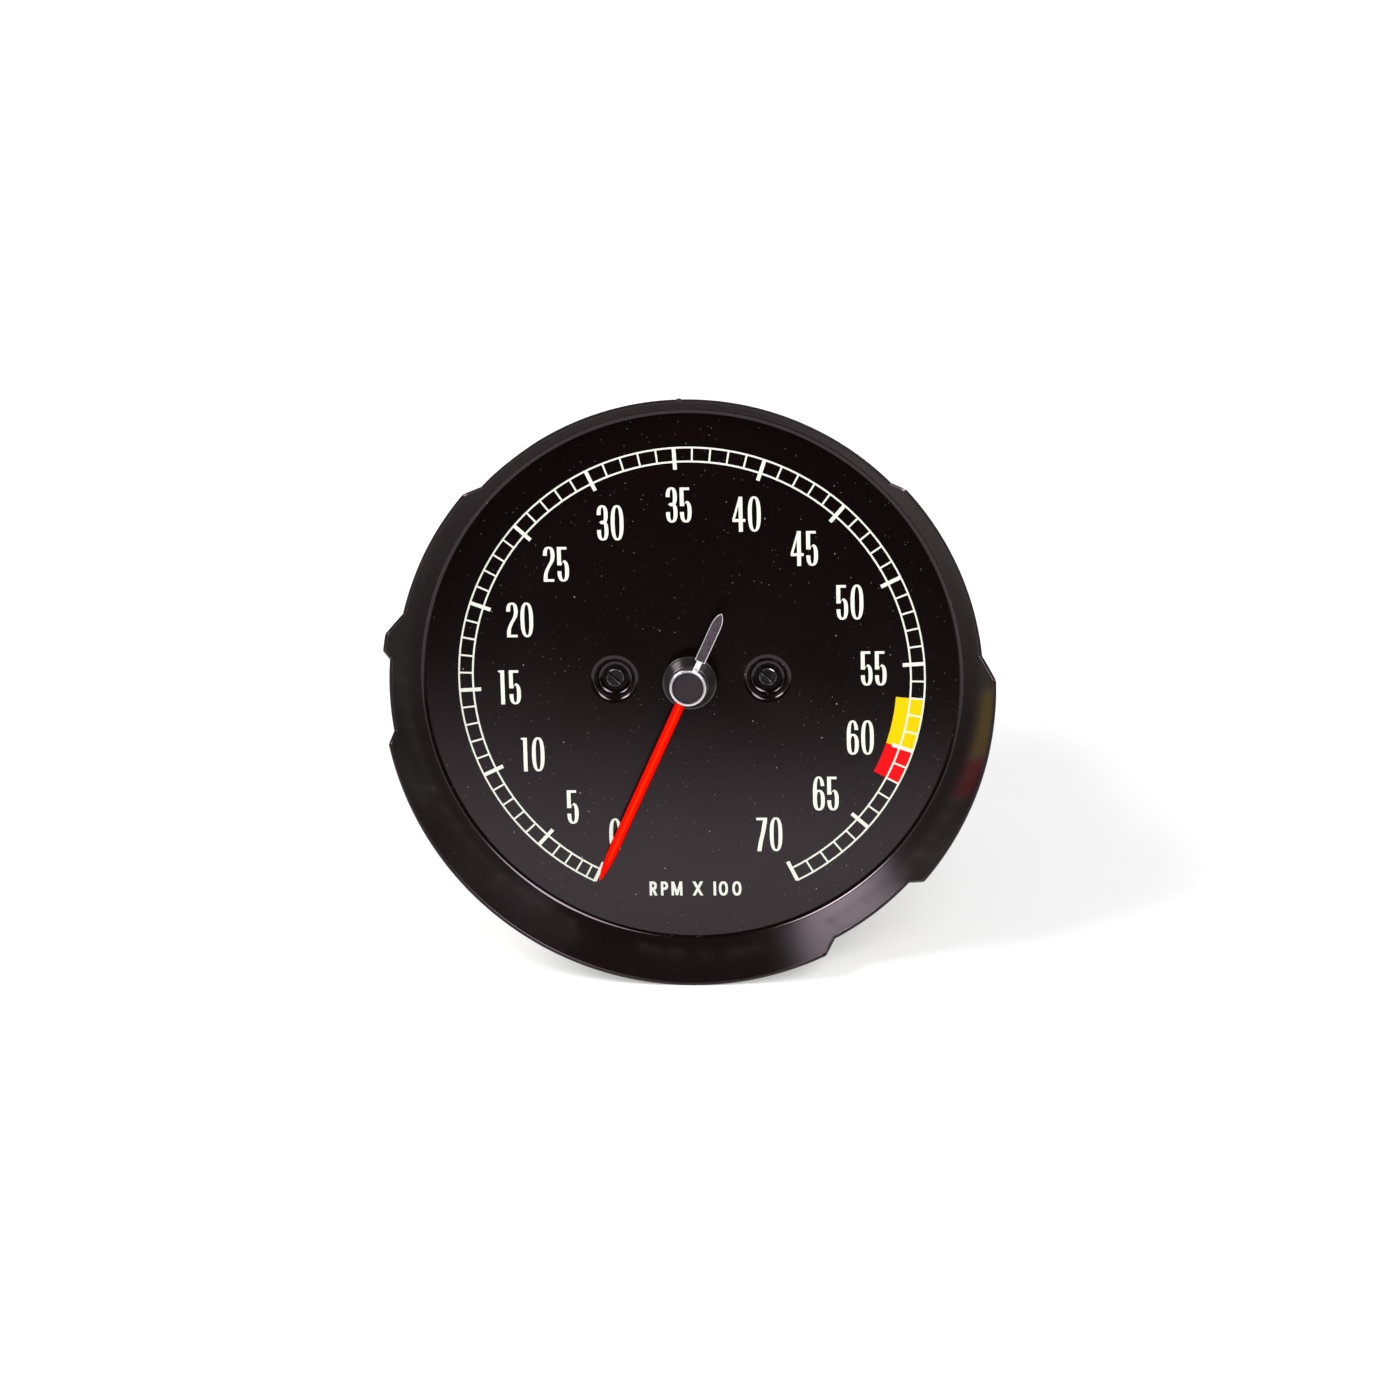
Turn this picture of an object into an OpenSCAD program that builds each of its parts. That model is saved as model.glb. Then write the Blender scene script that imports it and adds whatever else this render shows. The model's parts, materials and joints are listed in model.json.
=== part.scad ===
// Cable-driven tachometer with a flared pressed-steel dish, for an instrument cluster.
// It stands as it does on a table: on the lowest point of its rim and the back edge of its case.
// Every piece is drawn in gauge axes: Z out of the dial towards the viewer, Y to 12 o'clock.
// Dial angles count clockwise from 12 o'clock, as the viewer reads them.

/* [Dish] */
// Outer radius of the rim, at the sheet's outside corner
rim_r = 76.3; // [72:0.1:84]
// Height of the full rim in front of the dial face
rim_h = 13.8; // [12:0.1:18]
// Angle of the flared wall from the gauge's axis
flare = 28; // [24:0.1:34]
// Thickness of the dish's sheet steel
dish_t = 0.75; // [0.5:0.05:1]
// Radius of the hole for the pointer's spindle
dial_hole_r = 3; // [2.2:0.1:4]

/* [Rim cut-outs] */
// Height of the rim over the top of the dial
top_h = 4.5; // [3:0.1:6]
// Half the angle of the top cut-out
top_half = 45.3; // [40:0.1:50]
// Height of the little nib in the top cut-out
nib_h = 0.8; // [0.4:0.1:1.5]
// Middle of the nib, in degrees left of 12 o'clock
nib_at = 0.9; // [-6:0.1:6]
// Half the angle of the nib
nib_half = 0.7; // [0.4:0.1:2]
// Height of the rim at the upper left
left_shoulder_h = 8.6; // [7.5:0.1:10]
// Angle where the upper left shoulder ends
left_shoulder_end = 75; // [70:0.5:77]
// Height of the rim at the upper right
right_shoulder_h = 8.2; // [7.5:0.1:10]
// Angle where the upper right shoulder ends
right_shoulder_end = 84.3; // [75:0.1:88]
// Height of the rim in the left notch
left_notch_h = 11; // [10:0.1:11.8]
// Middle of the left notch, in degrees left of 12 o'clock
left_notch_at = 91; // [89:0.5:95]
// Height of the rim in the right notch
right_notch_h = 10.1; // [9:0.1:11.5]
// Middle of the right notch, in degrees right of 12 o'clock
right_notch_at = 142; // [130:0.5:145]
// Half the angle of the left notch
left_notch_half = 7; // [4:0.5:7.5]
// Half the angle of the right notch
right_notch_half = 9.2; // [4:0.1:10]
// Slope of the cut-outs' ends, from the dial's plane
cut_slope = 48; // [35:1:70]

/* [Dial screws] */
// Distance of each dial screw from the centre
dial_screw_x = 19.3; // [18.8:0.1:21]
// Radius of the pressed dimple round each screw
dimple_r = 4.75; // [4.2:0.05:5.2]
// Depth of the dimple's floor below the dial face
dimple_depth = 2.9; // [2.5:0.1:3.6]
// Radius of the dimple's rounded lip
dimple_lip_r = 1.3; // [0.8:0.1:1.4]
// Radius of the screw's head
dial_head_r = 2.25; // [2:0.05:3]
// Height of the screw's head
dial_head_h = 1.2; // [0.9:0.1:1.6]
// Radius of the screw's thread
dial_thread_r = 1.42; // [1.2:0.01:1.6]
// Length of thread under the head
dial_thread_l = 6; // [5:0.1:6.5]

/* [Dial print] */
// Distance from the rim's corner in to the scale's outer line
scale_inset = 17.58; // [16:0.02:22]
// Distance between the scale's two lines
scale_gap = 3.49; // [3:0.01:4.5]
// Width of the scale's lines and of the small marks
line_w = 0.44; // [0.3:0.02:0.6]
// Width of the numbered marks
major_w = 0.94; // [0.7:0.02:1.4]
// How far the numbered marks reach inside the inner line
major_in = 1.95; // [1.5:0.05:3]
// Dial angle of the mark 5
mark5_at = -137.27; // [-140:0.01:-134]
// Dial angle of the highest mark
top_at = 153.64; // [150:0.01:156]
// Highest mark on the scale
top_mark = 70; // [66:1:78]
// How much the marks close up below 5
low_squeeze = 0.0508; // [0.03:0.0002:0.07]
// First mark of the caution band
caution_from = 57; // [52:1:58]
// Mark where the caution band meets the red band
red_from = 60; // [59:1:61]
// Last mark of the red band
red_to = 62; // [62:1:64]
// How far both bands reach inside the inner line
band_in = 3.55; // [2:0.05:4]
// Thickness of the print
print_t = 0.06; // [0.04:0.01:0.1]
// Height of the numerals
digit_h = 8.9; // [8:0.1:9.4]
// Space between two digits of a numeral
digit_gap = 0.62; // [0.4:0.01:0.8]
// Distance from the scale's outer line in to the circle of the numerals' middles
numeral_inset = 14.32; // [13.7:0.02:16]
// Height of the unit legend's letters
legend_h = 3.7; // [3:0.1:4.2]
// Distance from the scale's outer line in to the legend's middle
legend_inset = 3.92; // [2.7:0.02:6]

/* [Pointer] */
// Dial angle of the pointer at rest on its stop
rest_at = -154.8; // [-156:0.1:-154.5]
// Travel of the pointer, in degrees
sweep = 310; // [308:1:314]
// Distance from the scale's outer line in to the pointer's tip
tip_inset = 3.32; // [0.5:0.02:8]
// Width of the pointer's blade
blade_w = 2.7; // [2:0.1:3.6]
// Length of the blade's rounded point
blade_point = 9.4; // [4:0.1:12]
// Thickness of the blade at its edges
blade_t = 0.5; // [0.4:0.05:0.7]
// Height of the blade's ridge over its edges
ridge_h = 0.45; // [0.2:0.05:0.6]
// Radius that the tail reaches
tail_r = 20.3; // [17:0.1:24]
// Width of the tail
tail_w = 2.7; // [2:0.1:3.4]
// Length of the tail's rounded point
tail_point = 3.6; // [2:0.1:5]
// Width of the tail's neck
neck_w = 1.5; // [1.2:0.1:2.2]
// Radius where the neck widens into the tail
neck_r = 6.8; // [6:0.1:8]
// Thickness of the tail
tail_t = 0.6; // [0.4:0.05:0.8]

/* [Pointer hub] */
// Gap from the dial face to the hub
hub_gap = 4.5; // [3:0.1:5]
// Radius of the hub's base
hub_r = 6.8; // [6:0.1:8]
// Radius of the hub's top, under the pointer
hub_top_r = 4.75; // [4.7:0.05:5.4]
// Height of the hub
hub_h = 3.4; // [3:0.1:5]
// Outer radius of the bright ring
ring_r = 4.6; // [4.2:0.1:4.7]
// Wall of the bright ring
ring_wall = 0.85; // [0.6:0.05:1.2]
// Height of the bright ring
ring_h = 2; // [1.5:0.1:3]
// Depth of the cap below the ring's edge
cap_sink = 0.3; // [0.1:0.05:0.6]
// Radius of the spindle
spindle_r = 0.8; // [0.6:0.05:1]

/* [Bridge and stop] */
// Depth of the bridge's front face behind the dial face
bridge_z = 9.8; // [9.2:0.1:10.4]
// Thickness of the bridge
bridge_t = 1.2; // [0.8:0.1:1.6]
// Half the width of the bridge
bridge_half = 8; // [7.6:0.1:9]
// Radius of the dial posts that stand through the bridge
post_r = 3.4; // [2.8:0.1:3.5]
// Distance of the bridge screws from the middle line
bridge_screw_y = 5.9; // [5.8:0.1:6.2]
// Radius of the bridge screws' heads
bridge_head_r = 1.8; // [1.4:0.1:1.9]
// Height of the bridge screws' heads
bridge_head_h = 1; // [0.6:0.1:1.2]
// Radius of the bridge screws' threads
bridge_thread_r = 1.1; // [0.8:0.1:1.2]
// Outer radius of the front bush
front_bush_r = 2.2; // [1.8:0.1:2.5]
// Distance of the stop pin from the spindle
stop_r = 5; // [4.6:0.1:5.4]
// Radius of the stop pin
stop_pin_r = 1; // [0.8:0.05:1.1]

/* [Hairspring] */
// Turns of the hairspring
spring_turns = 5; // [3:1:6]
// Radius of the spring's outer end
spring_r = 9.6; // [9:0.1:10.5]
// Thickness of the spring's strip
spring_t = 0.25; // [0.15:0.05:0.4]
// Width of the spring's strip
spring_w = 0.8; // [0.5:0.1:1]
// Radius of the collet that holds the spring's inner end
collet_r = 2.2; // [1.6:0.1:2.5]
// Length of the regulator's lever
lever_r = 13.6; // [12.6:0.1:14.5]

/* [Magnet and cup] */
// Radius of the magnet
magnet_r = 11.4; // [9:0.1:12]
// Length of the magnet
magnet_h = 9; // [7:0.1:10]
// Air gap on each side of the cup's wall
air_gap = 0.7; // [0.5:0.05:0.9]
// Wall of the aluminium cup
cup_wall = 0.5; // [0.4:0.05:0.7]
// Wall of the steel field cup
field_wall = 1; // [0.8:0.05:1.2]
// Thickness of the compensator ring
comp_t = 0.8; // [0.5:0.1:1.2]

/* [Drive shaft] */
// Radius of the shaft in its bush
shaft_r = 3.2; // [3:0.05:3.6]
// Radius of the shaft's front end
shaft_nose_r = 2.4; // [2.2:0.05:2.6]
// Side of the square socket for the cable's tip
socket_w = 2.7; // [2.6:0.01:3]
// Depth of the square socket
socket_l = 13; // [10:0.5:18]
// Outer radius of the shaft's bush
bush_r = 5.2; // [4.8:0.1:5.8]
// Length of the shaft's bush
bush_l = 27; // [20:0.5:28]

/* [Frame] */
// Gap between the frame's arms and the field cup
arm_gap = 0.8; // [0.5:0.1:1]
// Thickness of the frame's arms
arm_t = 7.2; // [7:0.1:8]
// Thickness of the frame's base
base_t = 5; // [4:0.1:7]
// Half the width of the frame's base
base_half = 12; // [10:0.5:14]
// Radius of the frame's rear boss
boss_r = 11; // [10.5:0.1:13]
// Distance of the rear legs from the centre
leg_x = 28; // [27.5:0.5:34]
// Radius of the rear legs
leg_r = 4; // [3.5:0.1:5]

/* [Case] */
// Outer radius of the case
case_r = 57; // [50:0.5:60]
// Depth of the case's back behind the dial face
case_depth = 72; // [70:0.5:78]
// Thickness of the case's sheet steel
case_t = 0.75; // [0.6:0.05:1]
// Radius of the case's rounded back edge
case_edge_r = 4; // [2:0.5:8]
// Radius of the case screws' heads
case_head_r = 3.6; // [3:0.1:4]
// Height of the case screws' heads
case_head_h = 2.2; // [1.6:0.1:2.8]
// Radius of the case screws' threads
case_thread_r = 2.08; // [1.5:0.02:2.2]

/* [Mounts] */
// Radius over the threads of the cable ferrule
ferrule_r = 7.94; // [7.6:0.01:8.5]
// Radius of the ferrule's shank, which screws into the frame
shank_r = 7.2; // [6.8:0.05:7.4]
// Length of the ferrule behind the case
ferrule_out = 20; // [14:0.5:24]
// Radius of the ferrule's bore for the cable's nose
nose_r = 5.5; // [5:0.1:6]
// Depth of the ferrule's bore for the cable's nose
nose_l = 12; // [8:0.5:13]
// Diameter of the circle of mounting studs
stud_pcd = 84; // [76:1:92]
// Number of mounting studs
stud_count = 3; // [2:1:4]
// Radius of the mounting studs
stud_r = 2.41; // [2.2:0.01:3]
// Radius of the studs' necks, riveted in the case
stud_neck_r = 2; // [1.6:0.05:2.1]
// Length of the mounting studs behind the case
stud_out = 16; // [10:0.5:24]

/* [Clearances] */
// Running clearance of a shaft in its bush
run_gap = 0.05; // [0.02:0.01:0.08]
// Clearance of a screw in the plate that it clamps
hole_gap = 0.2; // [0.1:0.05:0.3]
// Gap between pieces that move past each other
free_gap = 0.3; // [0.2:0.05:0.4]
// Clearance left at each end of the pointer's travel
stop_gap = 0.12; // [0.05:0.01:0.2]

/* [Hidden] */
$fn = 96;
cut_over = 1;
cut_inside = 2.3;

// The dish's wall: its radial thickness, and its radii on the visible and the outer side
wall_across = dish_t / cos(flare);
function outer_at(z) = rim_r - (rim_h - z) * tan(flare);
function inner_at(z) = outer_at(z) - wall_across;
dial_edge_r = inner_at(0);

// The scale: its two lines, what takes its place from them, and the dial angle of a mark
scale_r = rim_r - scale_inset;
scale_in_r = scale_r - scale_gap;
numeral_r = scale_r - numeral_inset;
legend_y = scale_r - legend_inset;
pointer_r = scale_r - tip_inset;
mark_step = (top_at - mark5_at) / (top_mark - 5);
function mark_at(v) = mark5_at + mark_step * (v - 5) * (v < 5 ? 1 - low_squeeze * (5 - v) : 1);
// How far each numeral, from 0 to 70, stands out from the numerals' circle, and its angle past
// its mark
numeral_shift = [
    [1, 0.3], [0.9, 0.2], [0.6, -0.6], [1.6, 0.2], [1.1, 0], [0.1, -0.5], [0, -0.4], [0, 0.3],
    [0, 0], [-0.4, -0.6], [0.2, 0.1], [1.6, 0.4], [0.7, 1], [0.5, 0.4], [0.4, 1.1]
];

// Hub and pointer, as heights in front of the dial face
hub_top = hub_gap + hub_h;
tail_top = hub_top + tail_t;
blade_top = tail_top + blade_t;
ring_top = blade_top + ring_h;
eye_r = ring_r - 0.4;
spindle_top = blade_top + ring_h * 0.4;
pivot_r = spindle_r / 2;

// Depths behind the dial face, from front to back
post_z = dimple_depth + dish_t;
shoulder_z = bridge_z + bridge_t;
bush_nose_z = bridge_z - 1;
stop_arm_t = 1.2;
stop_arm_z = bush_nose_z - stop_arm_t - 0.2;
stop_collar_h = 2;
lever_z = shoulder_z + free_gap;
lever_t = 0.8;
bush_lip_t = 0.3;
front_bush_z = lever_z + lever_t + free_gap + bush_lip_t;
collet_z = front_bush_z + free_gap;
collet_h = 1.3;
spring_z = collet_z + (collet_h - spring_w) / 2;
boss_gap = 0.8;
cup_boss_z = collet_z + collet_h + boss_gap;
cup_boss_h = 2.2;
cup_boss_r = 2.5;
cup_z = cup_boss_z + 0.8;
magnet_z = cup_boss_z + cup_boss_h + boss_gap;
pivot_l = 1.7;
magnet_back = magnet_z + magnet_h;
comp_back = magnet_back + comp_t;
carrier_r = 3;
carrier_flange_r = 6;
carrier_back = comp_back + 1.2;
washer_t = 0.6;
washer_gap = 0.05;
boss_front = carrier_back + washer_gap + washer_t + 0.1;
spigot_r = 6;
base_z = boss_front + 2;
base_back = base_z + base_t;
bush_back = boss_front + bush_l;
clip_t = 0.8;
clip_z = bush_back + washer_t + 2 * washer_gap;
ferrule_z = clip_z + clip_t + 3;
case_inside = case_depth - case_t;
ferrule_back = case_depth + ferrule_out;
nose_z = ferrule_back - nose_l;
shaft_back = nose_z - 0.2;
stud_back = case_depth + stud_out;
cup_back = magnet_back + 0.4;

// Radii of the cup, the field cup and the frame's arms
cup_in_r = magnet_r + air_gap;
cup_r = cup_in_r + cup_wall;
field_in_r = cup_r + air_gap;
field_r = field_in_r + field_wall;
field_t = field_wall;
arm_in = field_r + arm_gap;
arm_out = arm_in + arm_t;
base_out = leg_x + leg_r + 1;
jewel_r = shaft_nose_r - 0.9;
jewel_h = 2.6;

// The stop arm meets the pin half the unused angle from straight down
stop_half = (360 - sweep) / 2;
stop_arm_half = stop_r * sin(stop_half) - stop_pin_r - stop_gap;
stop_pin_at = rest_at + sweep / 2 + 180;

// The hairspring runs from its collet to the stud on the regulator's lever
spring_in_r = collet_r + spring_t / 2 + free_gap;
spring_steps = 28;
spring_pitch = (spring_r - spring_in_r) / spring_turns;
echo("least gap between the hairspring's turns, mm", spring_pitch - spring_t);

// Stance: the rim's lowest corner and the case's back edge both touch the surface
edge_down = case_r - case_edge_r;
edge_back = case_depth - case_edge_r;
reach = norm([rim_r - edge_down, rim_h + edge_back]);
lean = atan2(rim_r - edge_down, rim_h + edge_back) - asin(case_edge_r / reach);
stand_h = rim_r * cos(lean) - rim_h * sin(lean);
front_y = -rim_h * cos(lean) - rim_r * sin(lean);
stud_y = stud_back * cos(lean) + (stud_pcd / 2 + stud_r) * sin(lean);
ferrule_y = ferrule_back * cos(lean) + ferrule_r * sin(lean);
mid_y = (front_y + max(stud_y, ferrule_y)) / 2;
echo("lean", lean, "stand height", stand_h, "middle", mid_y);

// Turns a piece from gauge axes into the stance
module stand() {
    translate([0, -mid_y, stand_h]) rotate([90 - lean, 0, 0]) children();
}

// A round bar or disc from one depth behind the dial face to another
module bar(r, front, back) {
    translate([0, 0, -back]) cylinder(r = r, h = back - front);
}

// A round hole from one depth to another, run past both ends
module hole(r, front, back) {
    bar(r, front - cut_over, back + cut_over);
}

// Turns children to a dial angle: their Y axis points at the angle
module at_dial(a) {
    rotate([0, 0, -a]) children();
}

// A band of a circle between two dial angles, of the given height
module arc_band(r0, r1, a0, a1, h) {
    rotate([0, 0, 90 - a1]) rotate_extrude(angle = a1 - a0, $fn = 360)
        translate([r0, 0]) square([r1 - r0, h]);
}

// The pressed dish: a flat dial, a flared wall with its cut-outs, and two screw dimples
module dish_profile() {
    polygon([
        [0, -dish_t], [outer_at(-dish_t), -dish_t], [rim_r, rim_h], [inner_at(rim_h), rim_h],
        [dial_edge_r, 0], [0, 0]
    ]);
}

// Cuts the rim down to a height between two dial angles, with sloping ends
module rim_cut(a0, a1, h) {
    top = rim_h + cut_over;
    run = (top - h) / tan(cut_slope);
    in_r = dial_edge_r - cut_inside;
    long = rim_r - in_r + 3;
    translate([0, 0, h]) arc_band(in_r, in_r + long, a0, a1, top - h);
    for (end = [[a0, -1], [a1, 1]])
        at_dial(end[0]) translate([0, in_r + long, 0]) rotate([90, 0, 0]) linear_extrude(long)
            polygon([[-end[1] * 0.01, h], [0, h], [end[1] * run, top], [-end[1] * 0.01, top]]);
}

// A dimple pressed down from the dial face, with a rounded lip, and its floor
dimple_flange = 0.6;
module dimple(x) {
    lip = dimple_lip_r;
    flange_r = dimple_r + lip + dimple_flange;
    translate([x, 0, 0]) rotate_extrude() difference() {
        polygon([
            [dial_thread_r + hole_gap, -post_z], [dimple_r + dish_t, -post_z],
            [dimple_r + dish_t, -dish_t], [flange_r, -dish_t], [flange_r, 0], [dimple_r, 0],
            [dimple_r, -dimple_depth], [dial_thread_r + hole_gap, -dimple_depth]
        ]);
        translate([dimple_r, -lip]) difference() {
            square([lip, lip + cut_over]);
            translate([lip, 0]) circle(r = lip);
        }
    }
}

module face_dish() {
    color([0.09, 0.085, 0.09]) stand() {
        difference() {
            rotate_extrude($fn = 180) dish_profile();
            hole(dial_hole_r, 0, dish_t);
            for (x = [-dial_screw_x, dial_screw_x])
                translate([x, 0, 0]) hole(dimple_r + dimple_lip_r, 0, dish_t);
            rim_cut(-top_half, top_half, top_h + nib_h);
            rim_cut(-top_half, -nib_at - nib_half, top_h);
            rim_cut(-nib_at + nib_half, top_half, top_h);
            rim_cut(-left_shoulder_end, -top_half, left_shoulder_h);
            rim_cut(top_half, right_shoulder_end, right_shoulder_h);
            rim_cut(-left_notch_at - left_notch_half, -left_notch_at + left_notch_half, left_notch_h);
            rim_cut(right_notch_at - right_notch_half, right_notch_at + right_notch_half,
                right_notch_h);
        }
        for (x = [-dial_screw_x, dial_screw_x]) dimple(x);
    }
}

// The white scale: two lines with a mark for every unit, and longer numbered marks
module scale_marks(from, to, low, high) {
    for (v = [from:to]) {
        big = v % 5 == 0;
        w = big ? major_w : line_w;
        r0 = big ? scale_in_r - major_in : scale_in_r;
        at_dial(mark_at(v)) translate([-w / 2, r0, low])
            cube([w, scale_r - r0, high - low]);
    }
}

module scale_lines(from, to, low, high) {
    for (r = [scale_in_r, scale_r]) translate([0, 0, low])
        arc_band(r - line_w / 2, r + line_w / 2, mark_at(from), mark_at(to), high - low);
}

module dial_scale() {
    color([0.89, 0.94, 0.87]) stand() {
        scale_lines(0, top_mark, 0, print_t);
        scale_marks(0, top_mark, 0, print_t);
    }
}

// A colour band under the scale, cut round the white lines
module colour_band(from, to) {
    difference() {
        arc_band(scale_in_r - band_in, scale_r, mark_at(from), mark_at(to), print_t);
        scale_marks(from, to, -print_t, 2 * print_t);
        scale_lines(from - 1, to + 1, -print_t, 2 * print_t);
    }
}

module caution_band() {
    color([1, 0.85, 0]) stand() colour_band(caution_from, red_from);
}

module redline_band() {
    color([0.91, 0.1, 0.1]) stand() colour_band(red_from, red_to);
}

// Digits are drawn in a box of height 1 unit per millimetre at the numerals' size
digit_full = 8.9;
stem = 0.98;
thin = 0.5;
bar_h = 0.64;
function corner(v, n) = sign(v) * pow(abs(v), 2 / n);
function oval_points(a, b, n = 2.5, steps = 32) =
    [for (i = [0:steps - 1]) let (t = 360 * i / steps) [a * corner(cos(t), n), b * corner(sin(t), n)]];

// A tall letter bowl: an oval with thick sides and thin ends
module bowl(w, h) {
    translate([w / 2, h / 2]) difference() {
        polygon(oval_points(w / 2, h / 2));
        polygon(oval_points(w / 2 - stem, h / 2 - thin));
    }
}

module digit_0() {
    bowl(3.2, digit_full);
}

module digit_1() {
    translate([0.55, 0]) square([stem, 8.8]);
    polygon([[0, 8.7], [0, 8.4], [0.56, 8.2], [0.56, 8.8]]);
}

module digit_2() {
    intersection() {
        translate([0, 4.3]) bowl(2.9, 4.6);
        translate([0, 6.6]) square([3, 3]);
    }
    polygon([
        [2.9, 6.62], [2.86, 6], [2.66, 5.3], [2.28, 4.6], [1.75, 3.75], [1.28, 2.8], [1, 1.8],
        [0.95, bar_h], [2.65, bar_h], [2.65, 0], [0, 0], [0, 1.1], [0.12, 1.95], [0.42, 2.85],
        [0.9, 3.8], [1.45, 4.75], [1.78, 5.45], [1.9, 6.05], [1.92, 6.62]
    ]);
}

module digit_3() {
    difference() {
        translate([0.02, 4.15]) bowl(2.75, 4.75);
        translate([-1, 4.7]) square([2.4, 1.75]);
        translate([-1, 4]) square([1.9, 1]);
    }
    difference() {
        bowl(2.85, 5);
        translate([-1, 2.65]) square([2.4, 1.8]);
        translate([-1, 4]) square([1.9, 2]);
    }
    polygon([[0.5, 4.6], [1.42, 5], [1.6, 4.58], [1.42, 4.15]]);
}

module digit_4() {
    translate([1.62, 0]) square([stem, 8.8]);
    translate([0.05, 2.5]) square([3.2, 0.72]);
    polygon([[0.05, 2.9], [0.05, 3.25], [1.74, 8.8], [2.2, 8.8], [1.64, 6.7], [0.64, 3.1]]);
}

module digit_5() {
    translate([0, 4.15]) square([stem, 4.65]);
    translate([0, 8.8 - bar_h]) square([2.4, bar_h]);
    difference() {
        bowl(2.9, 5.46);
        translate([-1, 2.65]) square([2.3, 1.5]);
        polygon([[-1, 4.1], [0.9, 4.1], [stem, 4.7], [1.75, 5.5], [1.75, 6], [-1, 6]]);
    }
}

module digit_6() {
    bowl(3, 5.4);
    difference() {
        bowl(3, digit_full);
        translate([1.5, -1]) square([3, 7.4]);
    }
}

module digit_7() {
    translate([0, 8.8 - bar_h]) square([2.72, bar_h]);
    polygon([[2.72, 8.5], [2.7, 7.8], [2.2, 5.1], [1.62, 2.8], [1.15, 0], [0.1, 0], [0.5, 2.4],
        [1.15, 5], [1.74, 8.5]]);
}

module digit(d) {
    if (d == 0) digit_0();
    if (d == 1) digit_1();
    if (d == 2) digit_2();
    if (d == 3) digit_3();
    if (d == 4) digit_4();
    if (d == 5) digit_5();
    if (d == 6) digit_6();
    if (d == 7) digit_7();
}

digit_widths = [3.2, 2.1, 2.9, 2.85, 3.3, 2.9, 3, 2.72];
function numeral_width(v) = digit_widths[v % 10]
    + (v < 10 ? 0 : digit_widths[floor(v / 10)] + digit_gap);

// An upright numeral, centred on its place
module numeral(v) {
    k = digit_h / digit_full;
    scale(k) translate([-numeral_width(v) / 2, -digit_full / 2]) {
        if (v >= 10) digit(floor(v / 10));
        translate([v < 10 ? 0 : digit_widths[floor(v / 10)] + digit_gap, 0]) digit(v % 10);
    }
}

module dial_numerals() {
    color([0.89, 0.94, 0.87]) stand()
        for (i = [0:floor(top_mark / 5)]) {
            shift = i < len(numeral_shift) ? numeral_shift[i] : [0, 0];
            r = numeral_r + shift[0];
            a = mark_at(5 * i) + shift[1];
            translate([r * sin(a), r * cos(a), 0]) linear_extrude(print_t) numeral(5 * i);
        }
}

// Legend letters in a box of height 1, of one stroke width
letter_w = 0.17;
module letter_r() {
    letter_p();
    polygon([[0.16, 0.42], [0.36, 0.42], [0.53, 0], [0.34, 0]]);
}

module letter_p() {
    square([letter_w, 1]);
    intersection() {
        difference() {
            translate([0.19, 0.7]) polygon(oval_points(0.31, 0.3, 2.8));
            translate([0.16, 0.7]) polygon(oval_points(0.17, 0.3 - letter_w, 2.8));
        }
        translate([0.05, 0]) square([1, 1]);
    }
}

module letter_m() {
    wide = 0.76;
    square([letter_w, 1]);
    translate([wide - letter_w, 0]) square([letter_w, 1]);
    polygon([[0.02, 1], [0.19, 1], [wide / 2, 0.36], [wide - 0.19, 1], [wide - 0.02, 1],
        [wide / 2 + 0.08, 0.02], [wide / 2 - 0.08, 0.02]]);
}

module letter_x() {
    polygon([[0, 0], [0.2, 0], [0.74, 1], [0.54, 1]]);
    polygon([[0.54, 0], [0.74, 0], [0.2, 1], [0, 1]]);
}

module letter_one() {
    square([0.18, 1]);
}

module letter_zero() {
    translate([0.315, 0.5]) difference() {
        polygon(oval_points(0.315, 0.51, 2.4));
        polygon(oval_points(0.315 - letter_w, 0.51 - letter_w, 2.2));
    }
}

// The unit legend below the centre: revolutions per minute, times a hundred
module dial_legend() {
    color([0.89, 0.94, 0.87]) stand()
        translate([0, -legend_y - legend_h / 2, 0]) linear_extrude(print_t) scale(legend_h) {
            translate([-3.18, 0]) letter_r();
            translate([-2.4, 0]) letter_p();
            translate([-1.67, 0]) letter_m();
            translate([-0.21, 0]) letter_x();
            translate([1.24, 0]) letter_one();
            for (x = [1.61, 2.54]) translate([x, 0]) letter_zero();
        }
}

// A slotted screw seen from the front: head, slot and thread
module slotted_screw(head_r, head_h, thread_r, thread_l, slot_at) {
    difference() {
        cylinder(r = head_r, h = head_h);
        rotate(slot_at) translate([-head_r - 1, -head_r * 0.14, head_h * 0.45])
            cube([2 * head_r + 2, head_r * 0.28, head_h]);
    }
    translate([0, 0, -thread_l]) cylinder(r = thread_r, h = thread_l);
}

module dial_screws() {
    color([0.16, 0.15, 0.15]) stand()
        for (s = [-1, 1]) translate([s * dial_screw_x, 0, -dimple_depth])
            slotted_screw(dial_head_r, dial_head_h, dial_thread_r, dial_thread_l, -42);
}

// The outline of a blade from the centre out to a rounded point
function point_half(w, u) = w / 2 * pow(1 - pow(u, 1.8), 0.65);
module blade_outline(w, root, tip, point) {
    steps = 9;
    side = [for (i = [0:steps]) let (u = i / steps) [point_half(w, u), tip - point * (1 - u)]];
    polygon(concat([[w / 2, root]], side, [for (i = [steps:-1:0]) [-side[i][0], side[i][1]]],
        [[-w / 2, root]]));
}

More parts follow.
